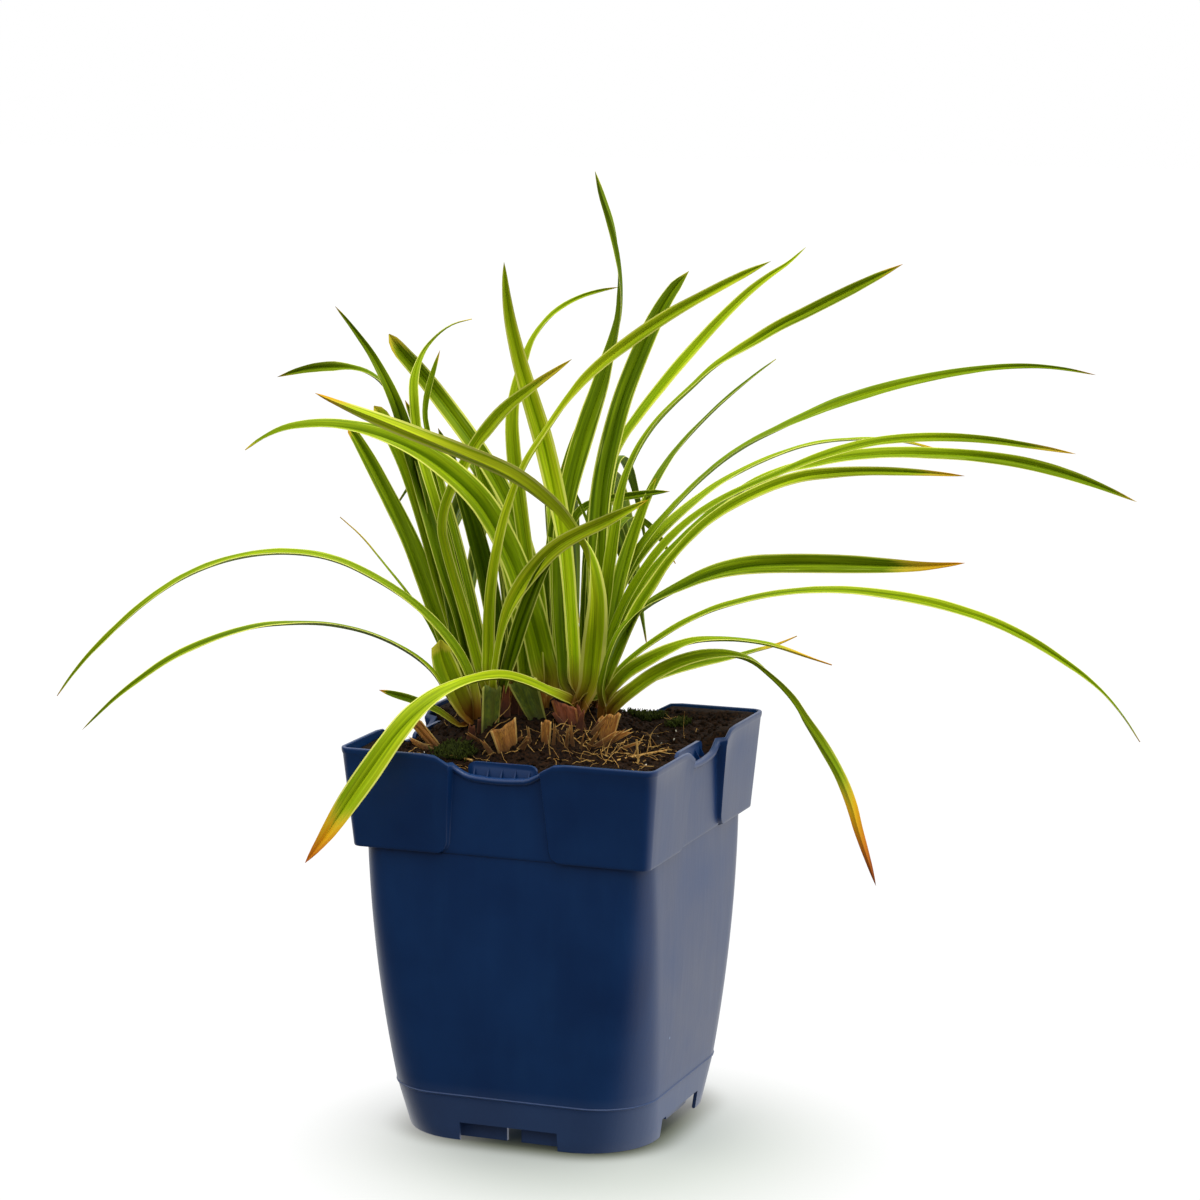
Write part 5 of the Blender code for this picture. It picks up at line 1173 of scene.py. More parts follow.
def hidden_leaf(order, draw, shoot, heading, reach, rise, tip):
    """A leaf that arches over in one upright plane, with a little sway and twist."""
    start, clasp = root_of(shoot, order)
    out = np.array([math.cos(math.radians(heading)), math.sin(math.radians(heading)), 0.0])
    side = np.array([-out[1], out[0], 0.0])
    sway = draw.uniform(-HIDDEN_SWAY, HIDDEN_SWAY)
    end_height = POT_HEIGHT + tip - clasp[2]
    points = [start]
    for step in range(8):
        t = step / 7
        level = 2 * t * (1 - t) * HIDDEN_BOW[0] * reach + t**2 * reach
        height = 2 * t * (1 - t) * HIDDEN_BOW[1] * rise + t**2 * end_height
        points.append(clasp + out * level + side * sway * t**2 + np.array([0, 0, height]))
    places = smooth_route(points, CONTROL_STATIONS)
    along = directions(places)
    degrees = spread([draw.uniform(-most, most) for most in HIDDEN_TURNS], CONTROL_STATIONS)
    plain = np.tile(side, (CONTROL_STATIONS, 1))
    sides = turned_sides(along, plain, degrees, 1.0)
    width = draw.uniform(*HIDDEN_WIDTH)
    widths = np.array([width * blade_profile(share) for share in np.linspace(0.0, 1.0, CONTROL_STATIONS)])
    return {"shoot": shoot, "widths": widths, "places": places, "sides": sides}


def blade_profile(share):
    """A blade's width along its length, as a share of its full width."""
    swell = ROOT_WIDTH + (1 - ROOT_WIDTH) * smooth_step(share / FULL_WIDTH_AT)
    taper = max(0.0, (share - TAPER_FROM) / (1 - TAPER_FROM)) ** TAPER_POWER
    return max(TIP_WIDTH, swell * (1 - taper))


def ribbon_tree(leaf):
    """A blade a little thicker than life, for finding where leaves cross."""
    places, sides = leaf["places"], leaf["sides"]
    normals = np.cross(directions(places), sides)
    points = []
    for place, side, normal, width in zip(places, sides, normals, leaf["widths"]):
        half = width / 2 + CLEAR_EDGE
        for across, out in ((-1, -1), (1, -1), (1, 1), (-1, 1)):
            points.append(place + side * across * half + normal * out * CLEARANCE)
    faces = []
    for i in range(CONTROL_STATIONS - 1):
        for j in range(4):
            k = (j + 1) % 4
            faces.append((4 * i + j, 4 * i + k, 4 * i + 4 + k, 4 * i + 4 + j))
    return BVHTree.FromPolygons([tuple(point) for point in points], faces)


def bend_clear(leaves):
    """Bends leaves of different shoots apart where they cross: the one in front comes forward and the other
    goes back, along the viewer's line of sight. Their roots stay in their sheaths."""
    stations = np.arange(CONTROL_STATIONS)
    held = np.clip(stations / 4 - 0.25, 0, 1)
    for _ in range(CLEAR_ROUNDS):
        trees = [ribbon_tree(leaf) for leaf in leaves]
        pushes = np.zeros((len(leaves), CONTROL_STATIONS))
        for i, first in enumerate(leaves):
            for j in range(i + 1, len(leaves)):
                second = leaves[j]
                if first["shoot"] == second["shoot"]:
                    continue
                hits = {(a // 4, b // 4) for a, b in trees[i].overlap(trees[j])}
                for a, b in sorted(hits):
                    gap = (first["places"][a] - second["places"][b]) @ TOWARD
                    push = CLEAR_PUSH / len(hits) * (1 if gap >= 0 else -1)
                    pushes[i] += push * np.exp(-(((stations - a) / CLEAR_SPREAD) ** 2)) * held
                    pushes[j] -= push * np.exp(-(((stations - b) / CLEAR_SPREAD) ** 2)) * held
        if not pushes.any():
            return
        for leaf, push in zip(leaves, pushes):
            leaf["places"] = leaf["places"] + unit(EYE - leaf["places"]) * push[:, None]


# Leaves: their skins


def blade_shaper():
    """Geometry nodes that open a blade out from its middle line, where all its points start: a keel, two soft
    pleats, rippled edges and a skin on both faces."""
    tree, given = new_tree("blade_shaper", Thickness="Float", Pleat="Float", Ripple="Float")
    leaf = {}
    for name in ("side", "normal", "wide", "half", "fold", "skin", "along", "seed"):
        kind = "FLOAT_VECTOR" if name in ("side", "normal") else "FLOAT"
        leaf[name] = add(tree, "GeometryNodeInputNamedAttribute", {"Name": name}, data_type=kind)
    out = add(tree, "ShaderNodeMath", (leaf["wide"],), operation="ABSOLUTE")
    # Keel low, margins high
    keel = add(tree, "ShaderNodeMath", (out, 2.0, -1.0), operation="MULTIPLY_ADD")
    keel = add(tree, "ShaderNodeMath", (keel, leaf["fold"]), operation="MULTIPLY")
    # A rounded pleat on each side of the keel
    pleat = add(tree, "ShaderNodeMath", (out, math.pi), operation="MULTIPLY")
    pleat = add(tree, "ShaderNodeMath", (pleat,), operation="SINE")
    height = add(tree, "ShaderNodeMath", (pleat, given["Pleat"], keel), operation="MULTIPLY_ADD")
    height = add(tree, "ShaderNodeMath", (height, leaf["half"]), operation="MULTIPLY")
    # The margins ripple, each in its own way
    far = add(tree, "ShaderNodeMath", (leaf["seed"], 53.0), operation="MULTIPLY")
    slow = add(tree, "ShaderNodeMath", (leaf["along"], 0.06), operation="MULTIPLY")
    place = add(tree, "ShaderNodeCombineXYZ", (slow, far, leaf["wide"]))
    wave = add(tree, "ShaderNodeTexNoise", {"Vector": place, "Scale": 1.0, "Detail": 3.0})
    wave = add(tree, "ShaderNodeMath", (wave, -0.5), operation="ADD")
    margin = add(tree, "ShaderNodeMath", (out, 2.0), operation="POWER")
    wave = add(tree, "ShaderNodeMath", (wave, margin), operation="MULTIPLY")
    wave = add(tree, "ShaderNodeMath", (wave, given["Ripple"]), operation="MULTIPLY")
    height = add(tree, "ShaderNodeMath", (height, wave), operation="ADD")
    # The blade thins out towards its margins
    thin = add(tree, "ShaderNodeMath", (out, 4.0), operation="POWER")
    thin = add(tree, "ShaderNodeMath", (thin, -0.4, 0.5), operation="MULTIPLY_ADD")
    thin = add(tree, "ShaderNodeMath", (thin, given["Thickness"]), operation="MULTIPLY")
    height = add(tree, "ShaderNodeMath", (thin, leaf["skin"], height), operation="MULTIPLY_ADD")
    reach = add(tree, "ShaderNodeMath", (leaf["wide"], leaf["half"]), operation="MULTIPLY")
    up = add(tree, "ShaderNodeVectorMath", {0: leaf["normal"], "Scale": height}, operation="SCALE")
    across = add(tree, "ShaderNodeVectorMath", {0: leaf["side"], "Scale": reach}, operation="SCALE")
    offset = add(tree, "ShaderNodeVectorMath", (up, across), operation="ADD")
    offset = add(tree, "ShaderNodeVectorMath", {0: offset, "Scale": MM}, operation="SCALE")
    opened = add(tree, "GeometryNodeSetPosition", {"Geometry": given["Geometry"], "Offset": offset})
    whole = add(tree, "GeometryNodeRealizeInstances", (opened,))
    return end_tree(tree, whole, given["Material"])


def closed_grid(rows, columns, start):
    """Faces of a skin that runs round a strip: over its top, round its edge and back under it, with both ends
    closed. Each row has its top points and then its underside ones, both from left to right."""
    ring = list(range(columns)) + list(range(2 * columns - 1, columns - 1, -1))
    size = 2 * columns
    faces = []
    for row in range(rows - 1):
        for i in range(size):
            a, b = ring[i], ring[(i + 1) % size]
            low, high = start + row * size, start + (row + 1) * size
            faces.append((low + a, low + b, high + b, high + a))
    last = start + (rows - 1) * size
    for i in range(columns - 1):
        faces.append((start + i, start + columns + i, start + columns + i + 1, start + i + 1))
        faces.append((last + i, last + i + 1, last + columns + i + 1, last + columns + i))
    return faces


def leaf_rows(leaf):
    """Fine stations along a leaf: places, sides and normals, half widths, shares of the length, and the
    length."""
    length = np.linalg.norm(np.diff(leaf["places"], axis=0), axis=1).sum()
    rows = max(FEWEST_ROWS, round(length / LEAF_STEP))
    places = smooth_route(leaf["places"], rows)
    controls = np.linspace(0.0, 1.0, CONTROL_STATIONS)
    shares = np.linspace(0.0, 1.0, rows)
    sides = np.stack([np.interp(shares, controls, leaf["sides"][:, i]) for i in range(3)], axis=1)
    along = directions(places)
    sides = unit(sides - along * np.sum(along * sides, axis=1, keepdims=True))
    # The end is rounded off over the last of the length
    ends = np.clip((shares - 1 + TIP_SHARE) / TIP_SHARE, 0.0, 1.0)
    halves = np.interp(shares, controls, leaf["widths"]) / 2 * np.sqrt(np.maximum(TIP_BLUNT, 1 - ends**2))
    return places, sides, np.cross(along, sides), halves, shares, length


def fold_at(share):
    """How steeply a blade is folded along its keel."""
    root = ROOT_FOLD[0] * (1 - smooth_step(share / ROOT_FOLD[1]))
    tip = TIP_FOLD[0] * smooth_step((share - 1 + TIP_FOLD[1]) / TIP_FOLD[1])
    return BLADE_FOLD * (1 + root + tip)


def set_attribute(mesh, name, values):
    """A number, or a vector where the values have three parts, at each point of a mesh."""
    values = np.array(values, np.float32)
    kind, key = ("FLOAT_VECTOR", "vector") if values.ndim == 2 else ("FLOAT", "value")
    mesh.attributes.new(name, kind, "POINT").data.foreach_set(key, values.ravel())


def set_blade_uv(mesh, wide, along):
    """The map that the leaf stuffs read: -1 to 1 across the blade, and centimetres along it."""
    layer = mesh.uv_layers.new(name="blade")
    loops = np.empty(len(mesh.loops), np.int32)
    mesh.loops.foreach_get("vertex_index", loops)
    layer.data.foreach_set("uv", np.stack([wide[loops], along[loops] / 10], axis=1).ravel())


def make_shoot(name, leaves, shaper, material):
    """All the leaves of one shoot, as one piece."""
    points, faces = [], []
    keys = ("side", "normal", "wide", "half", "fold", "skin", "along", "seed", "share")
    keys += ("dry", "brown", "pale", "margin")
    data = {key: [] for key in keys}
    for leaf in leaves:
        places, sides, normals, halves, shares, length = leaf_rows(leaf)
        faces += closed_grid(len(places), LEAF_COLUMNS, len(points))
        for place, side, normal, half, share in zip(places, sides, normals, halves, shares):
            row = (share * length, leaf["seed"], share, *leaf["looks"])
            for skin in (1.0, -1.0):
                for wide in np.linspace(-1.0, 1.0, LEAF_COLUMNS):
                    points.append(place)
                    for key, value in zip(keys, (side, normal, wide, half, fold_at(share), skin, *row)):
                        data[key].append(value)
    obj = new_object(name.replace("shoot", "leaves"), points, faces)
    for key, values in data.items():
        set_attribute(obj.data, key, values)
    set_blade_uv(obj.data, np.array(data["wide"]), np.array(data["along"]))
    apply_tree(obj, shaper, Thickness=LEAF_THICKNESS, Pleat=LEAF_PLEAT, Ripple=LEAF_RIPPLE, Material=material)
    obj.data.set_sharp_from_angle(angle=LEAF_EDGE)
    finish_piece(obj, [name])


def make_leaves(materials):
    draw = random.Random(11)
    leaves = [drawn_leaf(order, *spec) for order, spec in enumerate(DRAWN_LEAVES)]
    leaves += [hidden_leaf(order, draw, *spec) for order, spec in enumerate(HIDDEN_LEAVES)]
    bend_clear(leaves)
    leaves += [drawn_leaf(order, *spec) for order, spec in enumerate(INNER_LEAVES)]
    for order, leaf in enumerate(leaves):
        leaf["seed"] = draw.random()
        # Shoots at the back get less pale leaves, which the blade's stuff paints darker: painted shade for
        # the back of the crown
        most_pale_and_lit, margins = SHADED_BACK_SHOOTS if SHOOTS[leaf["shoot"]][1] < BACK_LEVEL else LIT_FRONT_SHOOTS
        dry = draw.uniform(0.0, USUAL_DRY)
        usual = (dry, USUAL_BROWN, draw.uniform(0.0, most_pale_and_lit), draw.uniform(*margins))
        leaf["looks"] = LEAF_LOOKS.get(order, usual)
    shaper = blade_shaper()
    for name in SHOOTS:
        make_shoot(name, [leaf for leaf in leaves if leaf["shoot"] == name], shaper, materials["leaf"])


# Cut leaves, dead leaves and old sheaths


def thin_strip(name, grid, thickness, wide, along, seed):
    """A closed piece with two skins over a grid of places, rows from foot to top."""
    grid = np.array(grid, float)
    lengthwise = np.gradient(grid, axis=0)
    crosswise = np.gradient(grid, axis=1)
    normals = unit(np.cross(lengthwise, crosswise))
    rows, columns, _ = grid.shape
    points, wides, alongs = [], [], []
    for row in range(rows):
        for out in (0.5, -0.5):
            for column in range(columns):
                points.append(grid[row, column] + normals[row, column] * thickness * out)
                wides.append(wide[column])
                alongs.append(along[row])
    obj = new_object(name, points, closed_grid(rows, columns, 0))
    set_blade_uv(obj.data, np.array(wides), np.array(alongs))
    set_attribute(obj.data, "seed", np.full(len(points), seed))
    return obj


def cut_leaf(name, spec, material):
    """A leaf cut off near the crown: a flat or lightly folded blade with a slanting, jagged cut."""
    across, toward, height, width, lean, turn = spec
    x, y = level_place(across, toward)
    draw = random.Random(name)
    foot, head, slant = CUT_SHAPES.get(name, CUT_USUAL)
    angle = VIEW_TURN + math.radians(turn)
    side = np.array([math.cos(angle), math.sin(angle), 0.0])
    normal = np.array([side[1], -side[0], 0.0])
    upward = side * math.tan(math.radians(lean)) + [0.0, 0.0, 1.0]
    base = np.array([x, y, ground_height(x, y) - STUB_DEPTH])
    wide = np.linspace(-1.0, 1.0, STUB_COLUMNS)
    teeth = [draw.uniform(-1, 1) * STUB_TEETH for _ in range(STUB_TOOTH_COUNT)]
    jags = np.interp(wide, np.linspace(-1, 1, STUB_TOOTH_COUNT), teeth)
    tops = height + STUB_DEPTH - STUB_CUT_DROP + slant * wide + jags
    grid = []
    for share in np.linspace(0.0, 1.0, STUB_ROWS):
        half = width / 2 * (foot + (head - foot) * share)
        cups = width / 2 * STUB_CUPPED * (np.abs(wide) ** 1.4 - 0.5)
        cups += STUB_CRUMPLE * np.sin(7 * wide + 2.4 * share + x)
        row = base + np.outer(half * wide, side) - np.outer(cups, normal)
        grid.append(row + np.outer(tops * share, upward))
    along = np.linspace(0, height + STUB_DEPTH, STUB_ROWS)
    obj = thin_strip(name, grid, STUB_THICKNESS, wide, along, draw.random())
    obj.data.materials.append(material)
    obj.name = name.replace("stub", "leaf_stump")
    finish_piece(obj, [name])


def make_shreds(materials):
    """Narrow strips of dead sheath that stand and lie round the crown."""
    draw = random.Random(12)
    wide = np.linspace(-1.0, 1.0, SHRED_COLUMNS)
    for stuff, shreds in SHREDS.items():
        made = []
        for across, toward, length, width, lean, rise in shreds:
            x, y = level_place(across, toward)
            foot = np.array([x, y, ground_height(x, y) - SHRED_DEPTH])
            tilt, up = math.radians(lean), math.radians(rise)
            way = (ACROSS * math.sin(tilt) + [0.0, 0.0, math.cos(tilt)]) * math.sin(up)
            way = way + TOWARD * [1, 1, 0] * math.cos(up)
            side = unit(np.cross(way, TOWARD)) * width / 2
            curl = np.cross(side, way) * draw.uniform(-SHRED_CURL, SHRED_CURL)
            torn = np.array([draw.uniform(0.75, 1.0) for _ in wide])
            grid = []
            for share in np.linspace(0.0, 1.0, SHRED_ROWS):
                row = foot + np.outer(length * share * torn, way)
                row += np.outer((1 - SHRED_TAPER * share) * wide, side)
                grid.append(row + np.outer(share**2 - 0.4 * wide**2, curl))
            along = np.linspace(0, length, SHRED_ROWS)
            made.append(thin_strip(stuff + "_shred", grid, SHRED_THICKNESS, wide, along, draw.random()))
        finish_piece(join(stuff + "_shreds", made, materials[stuff]))


def sheath_scales(name, draw, material):
    """Old leaf sheaths that wrap the foot of a shoot, each torn off at its own height."""
    x, y = level_place(*SHOOTS[name])
    ground = soil_height(x, y) - SCALE_DEPTH
    wide = np.linspace(-1.0, 1.0, SCALE_POINTS)
    made = []
    total = draw.randint(2, 3)
    for i in range(total):
        facing = 2 * math.pi * (i + draw.uniform(-0.3, 0.3)) / total
        wrap = math.radians(draw.uniform(*SCALE_WRAP))
        height = draw.uniform(*SCALE_HEIGHT)
        flare = draw.uniform(*SCALE_FLARE)
        seed = draw.random()
        torn = np.array([draw.uniform(0.5, 1.0) for _ in wide])
        torn[[0, -1]] = 0.45
        grid = []
        for share in np.linspace(0.0, 1.0, SCALE_POINTS):
            levels = ground + (height * torn + SCALE_DEPTH) * share
            radius = SCALE_RADIUS + 0.35 * i + flare * share**2 - 0.9 * share
            angles = facing + wrap * (1 - 0.25 * share) * wide
            grid.append(np.stack([x + radius * np.cos(angles), y + radius * np.sin(angles), levels], axis=1))
        along = np.linspace(0, height + SCALE_DEPTH, SCALE_POINTS)
        made.append(thin_strip(name + "_scale", grid, SHRED_THICKNESS, wide, along, seed))
    return join(name.replace("shoot", "old_sheaths"), made, material)


def join(name, objects, material):
    """Several mesh objects as one piece of one stuff."""
    with bpy.context.temp_override(active_object=objects[0], selected_editable_objects=objects):
        bpy.ops.object.join()
    obj = objects[0]
    obj.name = name
    obj.data.materials.clear()
    obj.data.materials.append(material)
    return obj


# Peat and what lies on it


def ground_height(x, y):
    """The peat's rough top: heaped a little away from the walls, most of all at the back, with clods and
    hollows."""
    back = smooth_step(0.5 - level_reach(x, y) / HEAP_REACH)
    heap = HEAP_FRONT + (HEAP_BACK - HEAP_FRONT) * back
    wall = smooth_step((PEAT_HALF + 1.0 - max(abs(x), abs(y))) / HEAP_SLOPE)
    return soil_height(x, y) + heap * wall + edge_rise(x, y) * (1 - wall) + peat_roughness(x, y)


def edge_rise(x, y):
    """How much higher the peat touches the wall than the plain root ball does, most of all at the corners and
    at the back. At the corners the dark peat covers inner wall that lies in shade, standing in for that
    shade.
    """
    corner = smooth_step((min(abs(x), abs(y)) - PANEL_TOP_HALF) / HEAP_SLOPE)
    back = smooth_step(0.5 - level_reach(x, y) / HEAP_REACH)
    return EDGE_RISE + (EDGE_RISE_CORNER + EDGE_RISE_BACK * back) * corner


def level_reach(x, y):
    """How far a place in plan lies towards the viewer from the pot's middle."""
    return x * math.sin(VIEW_TURN) - y * math.cos(VIEW_TURN)


def peat_roughness(x, y):
    """Clods and hollows of damp peat, in millimetres."""
    total = 0.0
    for scale, roughness, gain, octaves, height, shift in PEAT_NOISE:
        total += height * noise.fractal(Vector((x, y, 0.0)) * scale + Vector(shift), roughness, gain, octaves)
    return total


def make_peat(material):
    """The root ball, with its rough top worked out by a formula."""
    inset = WALL + GAP
    rings = [foot_ring(FLOOR_Z + FLOOR_THICKNESS + GAP, inset)]
    rings += [body_ring(z, inset) for z in (*BODY_LEVELS, COLLAR_Z + 0.2)]
    rings += [collar_ring(z + WALL, inset + GAP) for z in (COLLAR_Z + GAP, COLLAR_Z + PANEL_CORNER)]
    edge = [(x, y, z + edge_rise(x, y)) for x, y, z in collar_ring(SOIL_EDGE_Z, inset)]
    points = []
    draw = random.Random(5)
    steps = range(round(2 * PEAT_HALF / PEAT_STEP) + 1)
    for row in steps:
        for column in steps:
            x, y = (i * PEAT_STEP - PEAT_HALF for i in (column, row))
            x += draw.uniform(-PEAT_SCATTER, PEAT_SCATTER)
            y += draw.uniform(-PEAT_SCATTER, PEAT_SCATTER)
            if not in_pocket(x, y):
                points.append((x, y, ground_height(x, y)))
    flat = [Vector(point[:2]) for point in edge + points]
    faces = delaunay_2d_cdt(flat, [], [list(range(len(edge)))], 1, 1e-5)[2]
    peat = loft("peat", [*rings, edge], (points, faces))
    peat.data.materials.append(material)
    finish_piece(peat, ["soil"])


def in_pocket(x, y):
    """Whether a place in plan is taken by a label pocket or lies outside the peat's edge beside it."""
    wide, deep = POCKET_KEPT_CLEAR
    for _ in range(4):
        if abs(x) < POCKET_HALF + wide and y < deep - PEAT_HALF:
            return True
        x, y = -y, x
    return False


def scatterer():
    """Geometry nodes that strew copies of a small form over the faces of a surface."""
    numbers = dict.fromkeys(("Density", "Smallest", "Largest", "Tilt", "Lumpiness"), "Float")
    tree, given = new_tree("scatterer", Form="Object", **numbers, Seed="Int")
    seed, tilt = given["Seed"], given["Tilt"]
    cover = add(tree, "GeometryNodeInputNamedAttribute", {"Name": "cover"}, data_type="FLOAT")
    density = add(tree, "ShaderNodeMath", (cover, given["Density"]), operation="MULTIPLY")
    inputs = {"Mesh": given["Geometry"], "Density": density, "Seed": seed}
    strewn = add(tree, "GeometryNodeDistributePointsOnFaces", inputs, distribute_method="RANDOM")
    form = add(tree, "GeometryNodeObjectInfo", {"Object": given["Form"]}).outputs["Geometry"]
    inputs = {2: given["Smallest"], 3: given["Largest"], "Seed": seed}
    size = add(tree, "FunctionNodeRandomValue", inputs, data_type="FLOAT").outputs[1]
    least = add(tree, "ShaderNodeCombineXYZ")
    most = add(tree, "ShaderNodeCombineXYZ", (tilt, tilt, 6.283))
    turn = add(tree, "FunctionNodeRandomValue", {0: least, 1: most, "Seed": seed}, data_type="FLOAT_VECTOR")
    inputs = {"Points": strewn, "Instance": form, "Rotation": turn, "Scale": size}
    whole = add(tree, "GeometryNodeInstanceOnPoints", inputs)
    # Each copy is made real first, so that its own points can be pushed about
    whole = add(tree, "GeometryNodeRealizeInstances", (whole,))
    lumps = add(tree, "ShaderNodeTexNoise", {"Scale": 620.0, "Detail": 2.0}).outputs["Color"]
    lumps = add(tree, "ShaderNodeVectorMath", (lumps, (-0.5, -0.5, -0.5)), operation="ADD")
    lumps = add(tree, "ShaderNodeVectorMath", {0: lumps, "Scale": given["Lumpiness"]}, operation="SCALE")
    uneven = add(tree, "GeometryNodeSetPosition", {"Geometry": whole, "Offset": lumps})
    return end_tree(tree, uneven, given["Material"])


def surface_patch(name, cover_of, lift=0.0):
    """A copy of the peat's top, with how thickly it is strewn at each point."""
    steps = round(2 * PEAT_HALF / PATCH_STEP)
    points, faces = [], []
    for row in range(steps + 1):
        for column in range(steps + 1):
            x, y = (i * PATCH_STEP - PEAT_HALF for i in (column, row))
            points.append((x, y, ground_height(x, y) + lift))
    for row in range(steps):
        for column in range(steps):
            a = row * (steps + 1) + column
            faces.append((a, a + 1, a + steps + 2, a + steps + 1))
    obj = new_object(name, points, faces)
    set_attribute(obj.data, "cover", [0.0 if in_pocket(x, y) else cover_of(x, y) for x, y, _ in points])
    return obj


def crumb_form():
    """One crumb, a rough ball of 2 mm across, flattened a little."""
    mesh = bpy.data.meshes.new("crumb_form")
    shape = bmesh.new()
    bmesh.ops.create_icosphere(shape, subdivisions=2, radius=MM)
    for vert in shape.verts:
        vert.co *= 1 + 0.28 * noise.noise(vert.co * 1800)
        vert.co.z *= 0.75
    shape.to_mesh(mesh)
    shape.free()
    mesh.shade_smooth()
    obj = bpy.data.objects.new("crumb_form", mesh)
    bpy.context.scene.collection.objects.link(obj)
    return obj


def moss_form():
    """One moss leaflet, a pointed spoon that leans out from its foot."""
    points, faces = [], []
    for out, up, half in LEAFLET_ROWS:
        points += [(-half, out, up), (half, out, up), (0.0, out + LEAFLET_HOLLOW[0], up + LEAFLET_HOLLOW[1])]
    for a in (0, 3, 6):
        faces += [(a, a + 1, a + 4, a + 3), (a + 1, a + 2, a + 5, a + 4), (a + 2, a, a + 3, a + 5)]
    faces += [(0, 2, 1), (9, 10, 11)]
    return new_object("moss_form", points, faces)


def strander():
    """Geometry nodes that draw a tapering strand along each line of a wire mesh."""
    tree, given = new_tree("strander", Sides="Int")
    size = add(tree, "GeometryNodeInputNamedAttribute", {"Name": "size"}, data_type="FLOAT")
    lines = add(tree, "GeometryNodeMeshToCurve", {"Mesh": given["Geometry"]})
    sized = add(tree, "GeometryNodeSetCurveRadius", {"Curve": lines, "Radius": size})
    ring = add(tree, "GeometryNodeCurvePrimitiveCircle", {"Resolution": given["Sides"], "Radius": 1.0})
    inputs = {"Curve": sized, "Profile Curve": ring, "Fill Caps": True, "Scale": size}
    tubes = add(tree, "GeometryNodeCurveToMesh", inputs)
    whole = add(tree, "GeometryNodeRealizeInstances", (tubes,))
    return end_tree(tree, whole, given["Material"])


def make_strands(name, routes, tree, material, sides):
    """Strands along routes, each a list of places and the radius at each."""
    points, edges, sizes = [], [], []
    for places, radii in routes:
        edges += [(len(points) + i, len(points) + i + 1) for i in range(len(places) - 1)]
        points += list(places)
        sizes += [radius * MM for radius in radii]
    obj = new_object(name, points, [], edges)
    set_attribute(obj.data, "size", sizes)
    apply_tree(obj, tree, Sides=sides, Material=material)
    obj.data.shade_smooth()
    return obj


def lying_fibre(draw, x, y, heading, length, lift, radius):
    """A bent fibre that lies on the peat, or springs up from it where lift is large."""
    places, radii = [], []
    bend = draw.uniform(-FIBRE_BEND, FIBRE_BEND)
    hump = draw.uniform(*FIBRE_HUMP) * length
    step = length / FIBRE_PLACES * math.cos(math.atan2(lift, length))
    edge = PEAT_HALF - 1
    for i in range(FIBRE_PLACES):
        t = i / (FIBRE_PLACES - 1)
        places.append((x, y, ground_height(x, y) + 0.2 + hump * 0.3 * math.sin(math.pi * t) + lift * t))
        radii.append(radius * (1 - 0.5 * t))
        heading += bend * draw.uniform(0.0, 0.5)
        x = min(edge, max(-edge, x + step * math.cos(heading)))
        y = min(edge, max(-edge, y + step * math.sin(heading)))
    return places, radii


def make_litter(materials, strands):
    """Straw and root fibre, most of it before the right side of the crown, where the photograph shows it."""
    draw = random.Random(23)
    routes = []
    for start, end, radius, rise in STRAWS.values():
        start, end = level_place(*start), level_place(*end)
        depth = STRAW_DEPTH if rise > STRAW_DEPTH else 0.0
        first = np.array([*start, ground_height(*start) - depth])
        last = np.array([*end, ground_height(*end) + rise])
        middle = (first + last) / 2 + [0, 0, 0.25]
        routes.append((smooth_route([first, middle, last], STRAW_PLACES), [radius * 0.8] * STRAW_PLACES))
    finish_piece(make_strands("straws", routes, strands, materials["straw"], 6), list(STRAWS))
    routes = []
    for _ in range(FIBRE_COUNT):
        near_crown = draw.random() < CROWN_FIBRES
        across = draw.gauss(*CROWN_ACROSS) if near_crown else draw.uniform(-55, 55)
        toward = draw.gauss(*CROWN_TOWARD) if near_crown else draw.uniform(-50, 50)
        x, y = level_place(across, toward)
        if max(abs(x), abs(y)) > PEAT_HALF - 3 or in_pocket(x, y):
            continue
        length = draw.uniform(*FIBRE_LENGTH)
        lift = draw.uniform(*(SPRING if draw.random() < SPRINGY_FIBRES else LYING))
        radius = draw.uniform(*FIBRE_RADIUS)
        routes.append(lying_fibre(draw, x, y, draw.uniform(0, 6.283), length, lift, radius))
    finish_piece(make_strands("peat_fibres", routes, strands, materials["straw"], 4))


def make_crumbs(materials, strewer):
    """Clods, perlite and moss on the peat."""
    forms = {"crumb": crumb_form(), "leaflet": moss_form()}
    middles = [(level_place(*place), size) for place, size in MOSS_TUFTS]

    def mossy(x, y):
        return max(0.0, max(1 - (math.dist((x, y), middle) / size) ** 2 for middle, size in middles))

    for name, (form, density, smallest, largest, tilt, lumps, seed, stuff) in STREWN.items():
        cover, lift = (mossy, MOSS_LIFT) if form == "leaflet" else (lambda x, y: 1.0, 0.0)
        piece = surface_patch(name, cover, lift)
        inputs = {"Form": forms[form], "Density": density, "Smallest": smallest, "Largest": largest}
        apply_tree(piece, strewer, **inputs, Tilt=tilt, Lumpiness=lumps, Seed=seed, Material=materials[stuff])
        finish_piece(piece)
    for form in forms.values():
        bpy.data.objects.remove(form, do_unlink=True)


# Stage


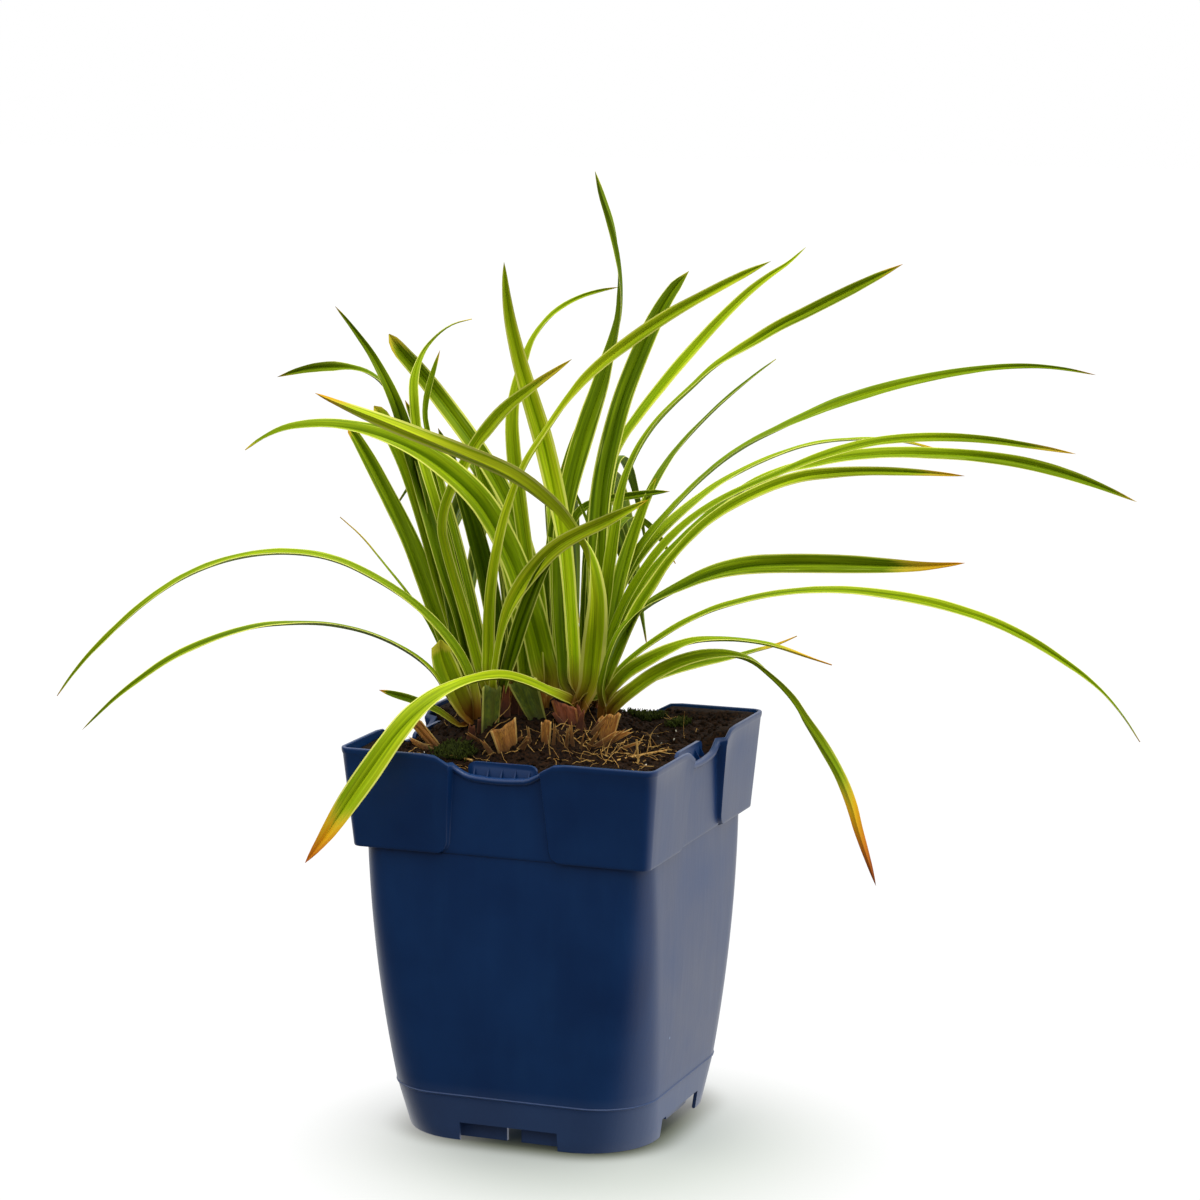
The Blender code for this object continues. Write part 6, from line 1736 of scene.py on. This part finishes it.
def make_stage():
    """A white sweep that is all light a little way off. Nearer the pot it is a grey painted shadow pool,
    which also takes the pot's rendered shadow, with painted contact shade under the foot.
    """
    material, tree, shader = new_material("white_sweep")
    place = add(tree, "ShaderNodeTexCoord").outputs["Object"]
    # Painted shadow pool: round a middle set towards the viewer and to the right, the floor is painted grey,
    # and further off it fades to white light
    middle = tuple(float(v) for v in (TOWARD * [1, 1, 0] * SHADOW_SHIFT + ACROSS * SHADOW_RIGHT) * MM)
    far = add(tree, "ShaderNodeVectorMath", (place, middle), operation="DISTANCE").outputs["Value"]
    ends = [v * MM for v in SHADOW_FADE]
    glow = add(tree, "ShaderNodeMapRange", (far, *ends, 0.0, 1.0), interpolation_type="SMOOTHSTEP")
    # Painted shade: under the pot and close before its foot, where hardly any light comes in, the floor is
    # painted dark
    reach = (BASE_HALF - BASE_CORNER) * MM
    past = add(tree, "ShaderNodeVectorMath", (place,), operation="ABSOLUTE")
    past = add(tree, "ShaderNodeVectorMath", (past, (reach, reach, 0.0)), operation="SUBTRACT")
    past = add(tree, "ShaderNodeVectorMath", (past, (0.0, 0.0, 0.0)), operation="MAXIMUM")
    past = add(tree, "ShaderNodeVectorMath", (past,), operation="LENGTH").outputs["Value"]
    ends = ((BASE_CORNER - CONTACT_SHADE[0]) * MM, (BASE_CORNER + CONTACT_SHADE[1]) * MM)
    under = add(tree, "ShaderNodeMapRange", (past, *ends, 1.0, 0.0), interpolation_type="SMOOTHERSTEP")
    # The painted shadow pool's grey, and the darker painted contact shade
    inputs = {0: under, 6: linear("#CED3CB"), 7: linear("#757A66")}
    tone = add(tree, "ShaderNodeMix", inputs, data_type="RGBA").outputs[2]
    put(tree, shader, {"Base Color": tone, "Roughness": 0.9})
    white = add(tree, "ShaderNodeEmission", {"Color": (1, 1, 1, 1), "Strength": 1.05})
    both = add(tree, "ShaderNodeMixShader", (glow, shader, white))
    put(tree, tree.nodes["Material Output"], (both,))
    corners = [(-1, -1), (1, -1), (1, 1), (-1, 1)]
    floor = new_object("floor", [(x * FLOOR_HALF, y * FLOOR_HALF, 0) for x, y in corners], [(0, 1, 2, 3)])
    floor.data.materials.append(material)
    floor.visible_glossy = False
    floor.visible_diffuse = False


def make_world():
    """A white studio: bright behind, above and to the right, dark on the viewer's side, which keeps the pot's
    broad face deep. The viewer sees plain white behind the plant."""
    world = bpy.data.worlds.new("studio")
    world.use_nodes = True
    tree = world.node_tree
    way = add(tree, "ShaderNodeTexCoord").outputs["Generated"]
    dark = tuple(float(v) for v in unit(TOWARD * [1, 1, 0] - ACROSS * DARK_TURN))
    facing = add(tree, "ShaderNodeVectorMath", (way, dark), operation="DOT_PRODUCT").outputs["Value"]
    level = add(tree, "ShaderNodeMapRange", (facing, -0.5, 0.5, 1.0, 0.1), interpolation_type="SMOOTHSTEP")
    height = add(tree, "ShaderNodeSeparateXYZ", (way,)).outputs["Z"]
    above = add(tree, "ShaderNodeMapRange", (height, 0.02, 0.5, 0.0, 1.1), interpolation_type="SMOOTHSTEP")
    strength = add(tree, "ShaderNodeMath", (level, above), operation="MAXIMUM")
    studio = tree.nodes["Background"]
    put(tree, studio, {"Color": (1, 1, 1, 1), "Strength": strength})
    plain = add(tree, "ShaderNodeBackground", {"Color": (1, 1, 1, 1), "Strength": 1.0})
    seen = add(tree, "ShaderNodeLightPath").outputs["Is Camera Ray"]
    both = add(tree, "ShaderNodeMixShader", (seen, studio, plain))
    put(tree, tree.nodes["World Output"], (both,))
    bpy.context.scene.world = world


def make_light(name, place, aim, size, power):
    """A square soft box, in metres and watts."""
    data = bpy.data.lights.new(name, "AREA")
    data.size = size
    data.energy = power
    light = bpy.data.objects.new(name, data)
    light.location = place
    light.rotation_euler = (Vector(aim) - Vector(place)).to_track_quat("-Z", "Y").to_euler()
    bpy.context.scene.collection.objects.link(light)


def make_camera():
    data = bpy.data.cameras.new("camera")
    data.sensor_width = SENSOR
    data.lens = LENS
    data.clip_end = 50.0
    camera = bpy.data.objects.new("camera", data)
    turn = Matrix([ACROSS, UPWARD, TOWARD]).transposed()
    camera.matrix_world = Matrix.Translation(Vector(EYE * MM)) @ turn.to_4x4()
    bpy.context.scene.collection.objects.link(camera)
    bpy.context.scene.camera = camera


def main():
    make_camera()
    make_stage()
    make_world()
    make_light("key", KEY_PLACE, KEY_AIM, KEY_SIZE, KEY_POWER)
    bpy.context.scene.view_settings.view_transform = "Standard"
    materials = make_materials()
    make_pot(materials["pot"])
    make_peat(materials["peat"])
    make_leaves(materials)
    stuffs = {"cut_stub_green": "cut_leaf", "cut_stub_broad": "cut_leaf", "sheath_red_brown": "dry_sheath"}
    for name, spec in CUT_STUBS.items():
        slot = stuffs.get(name, "dry_leaf")
        cut_leaf(name, spec, materials[slot])
    draw = random.Random(31)
    for order, name in enumerate(SHOOTS):
        kind = "dry_leaf" if order % 4 == 3 else "dry_sheath"
        finish_piece(sheath_scales(name, draw, materials[kind]))
    make_shreds(materials)
    make_litter(materials, strander())
    make_crumbs(materials, scatterer())


main()
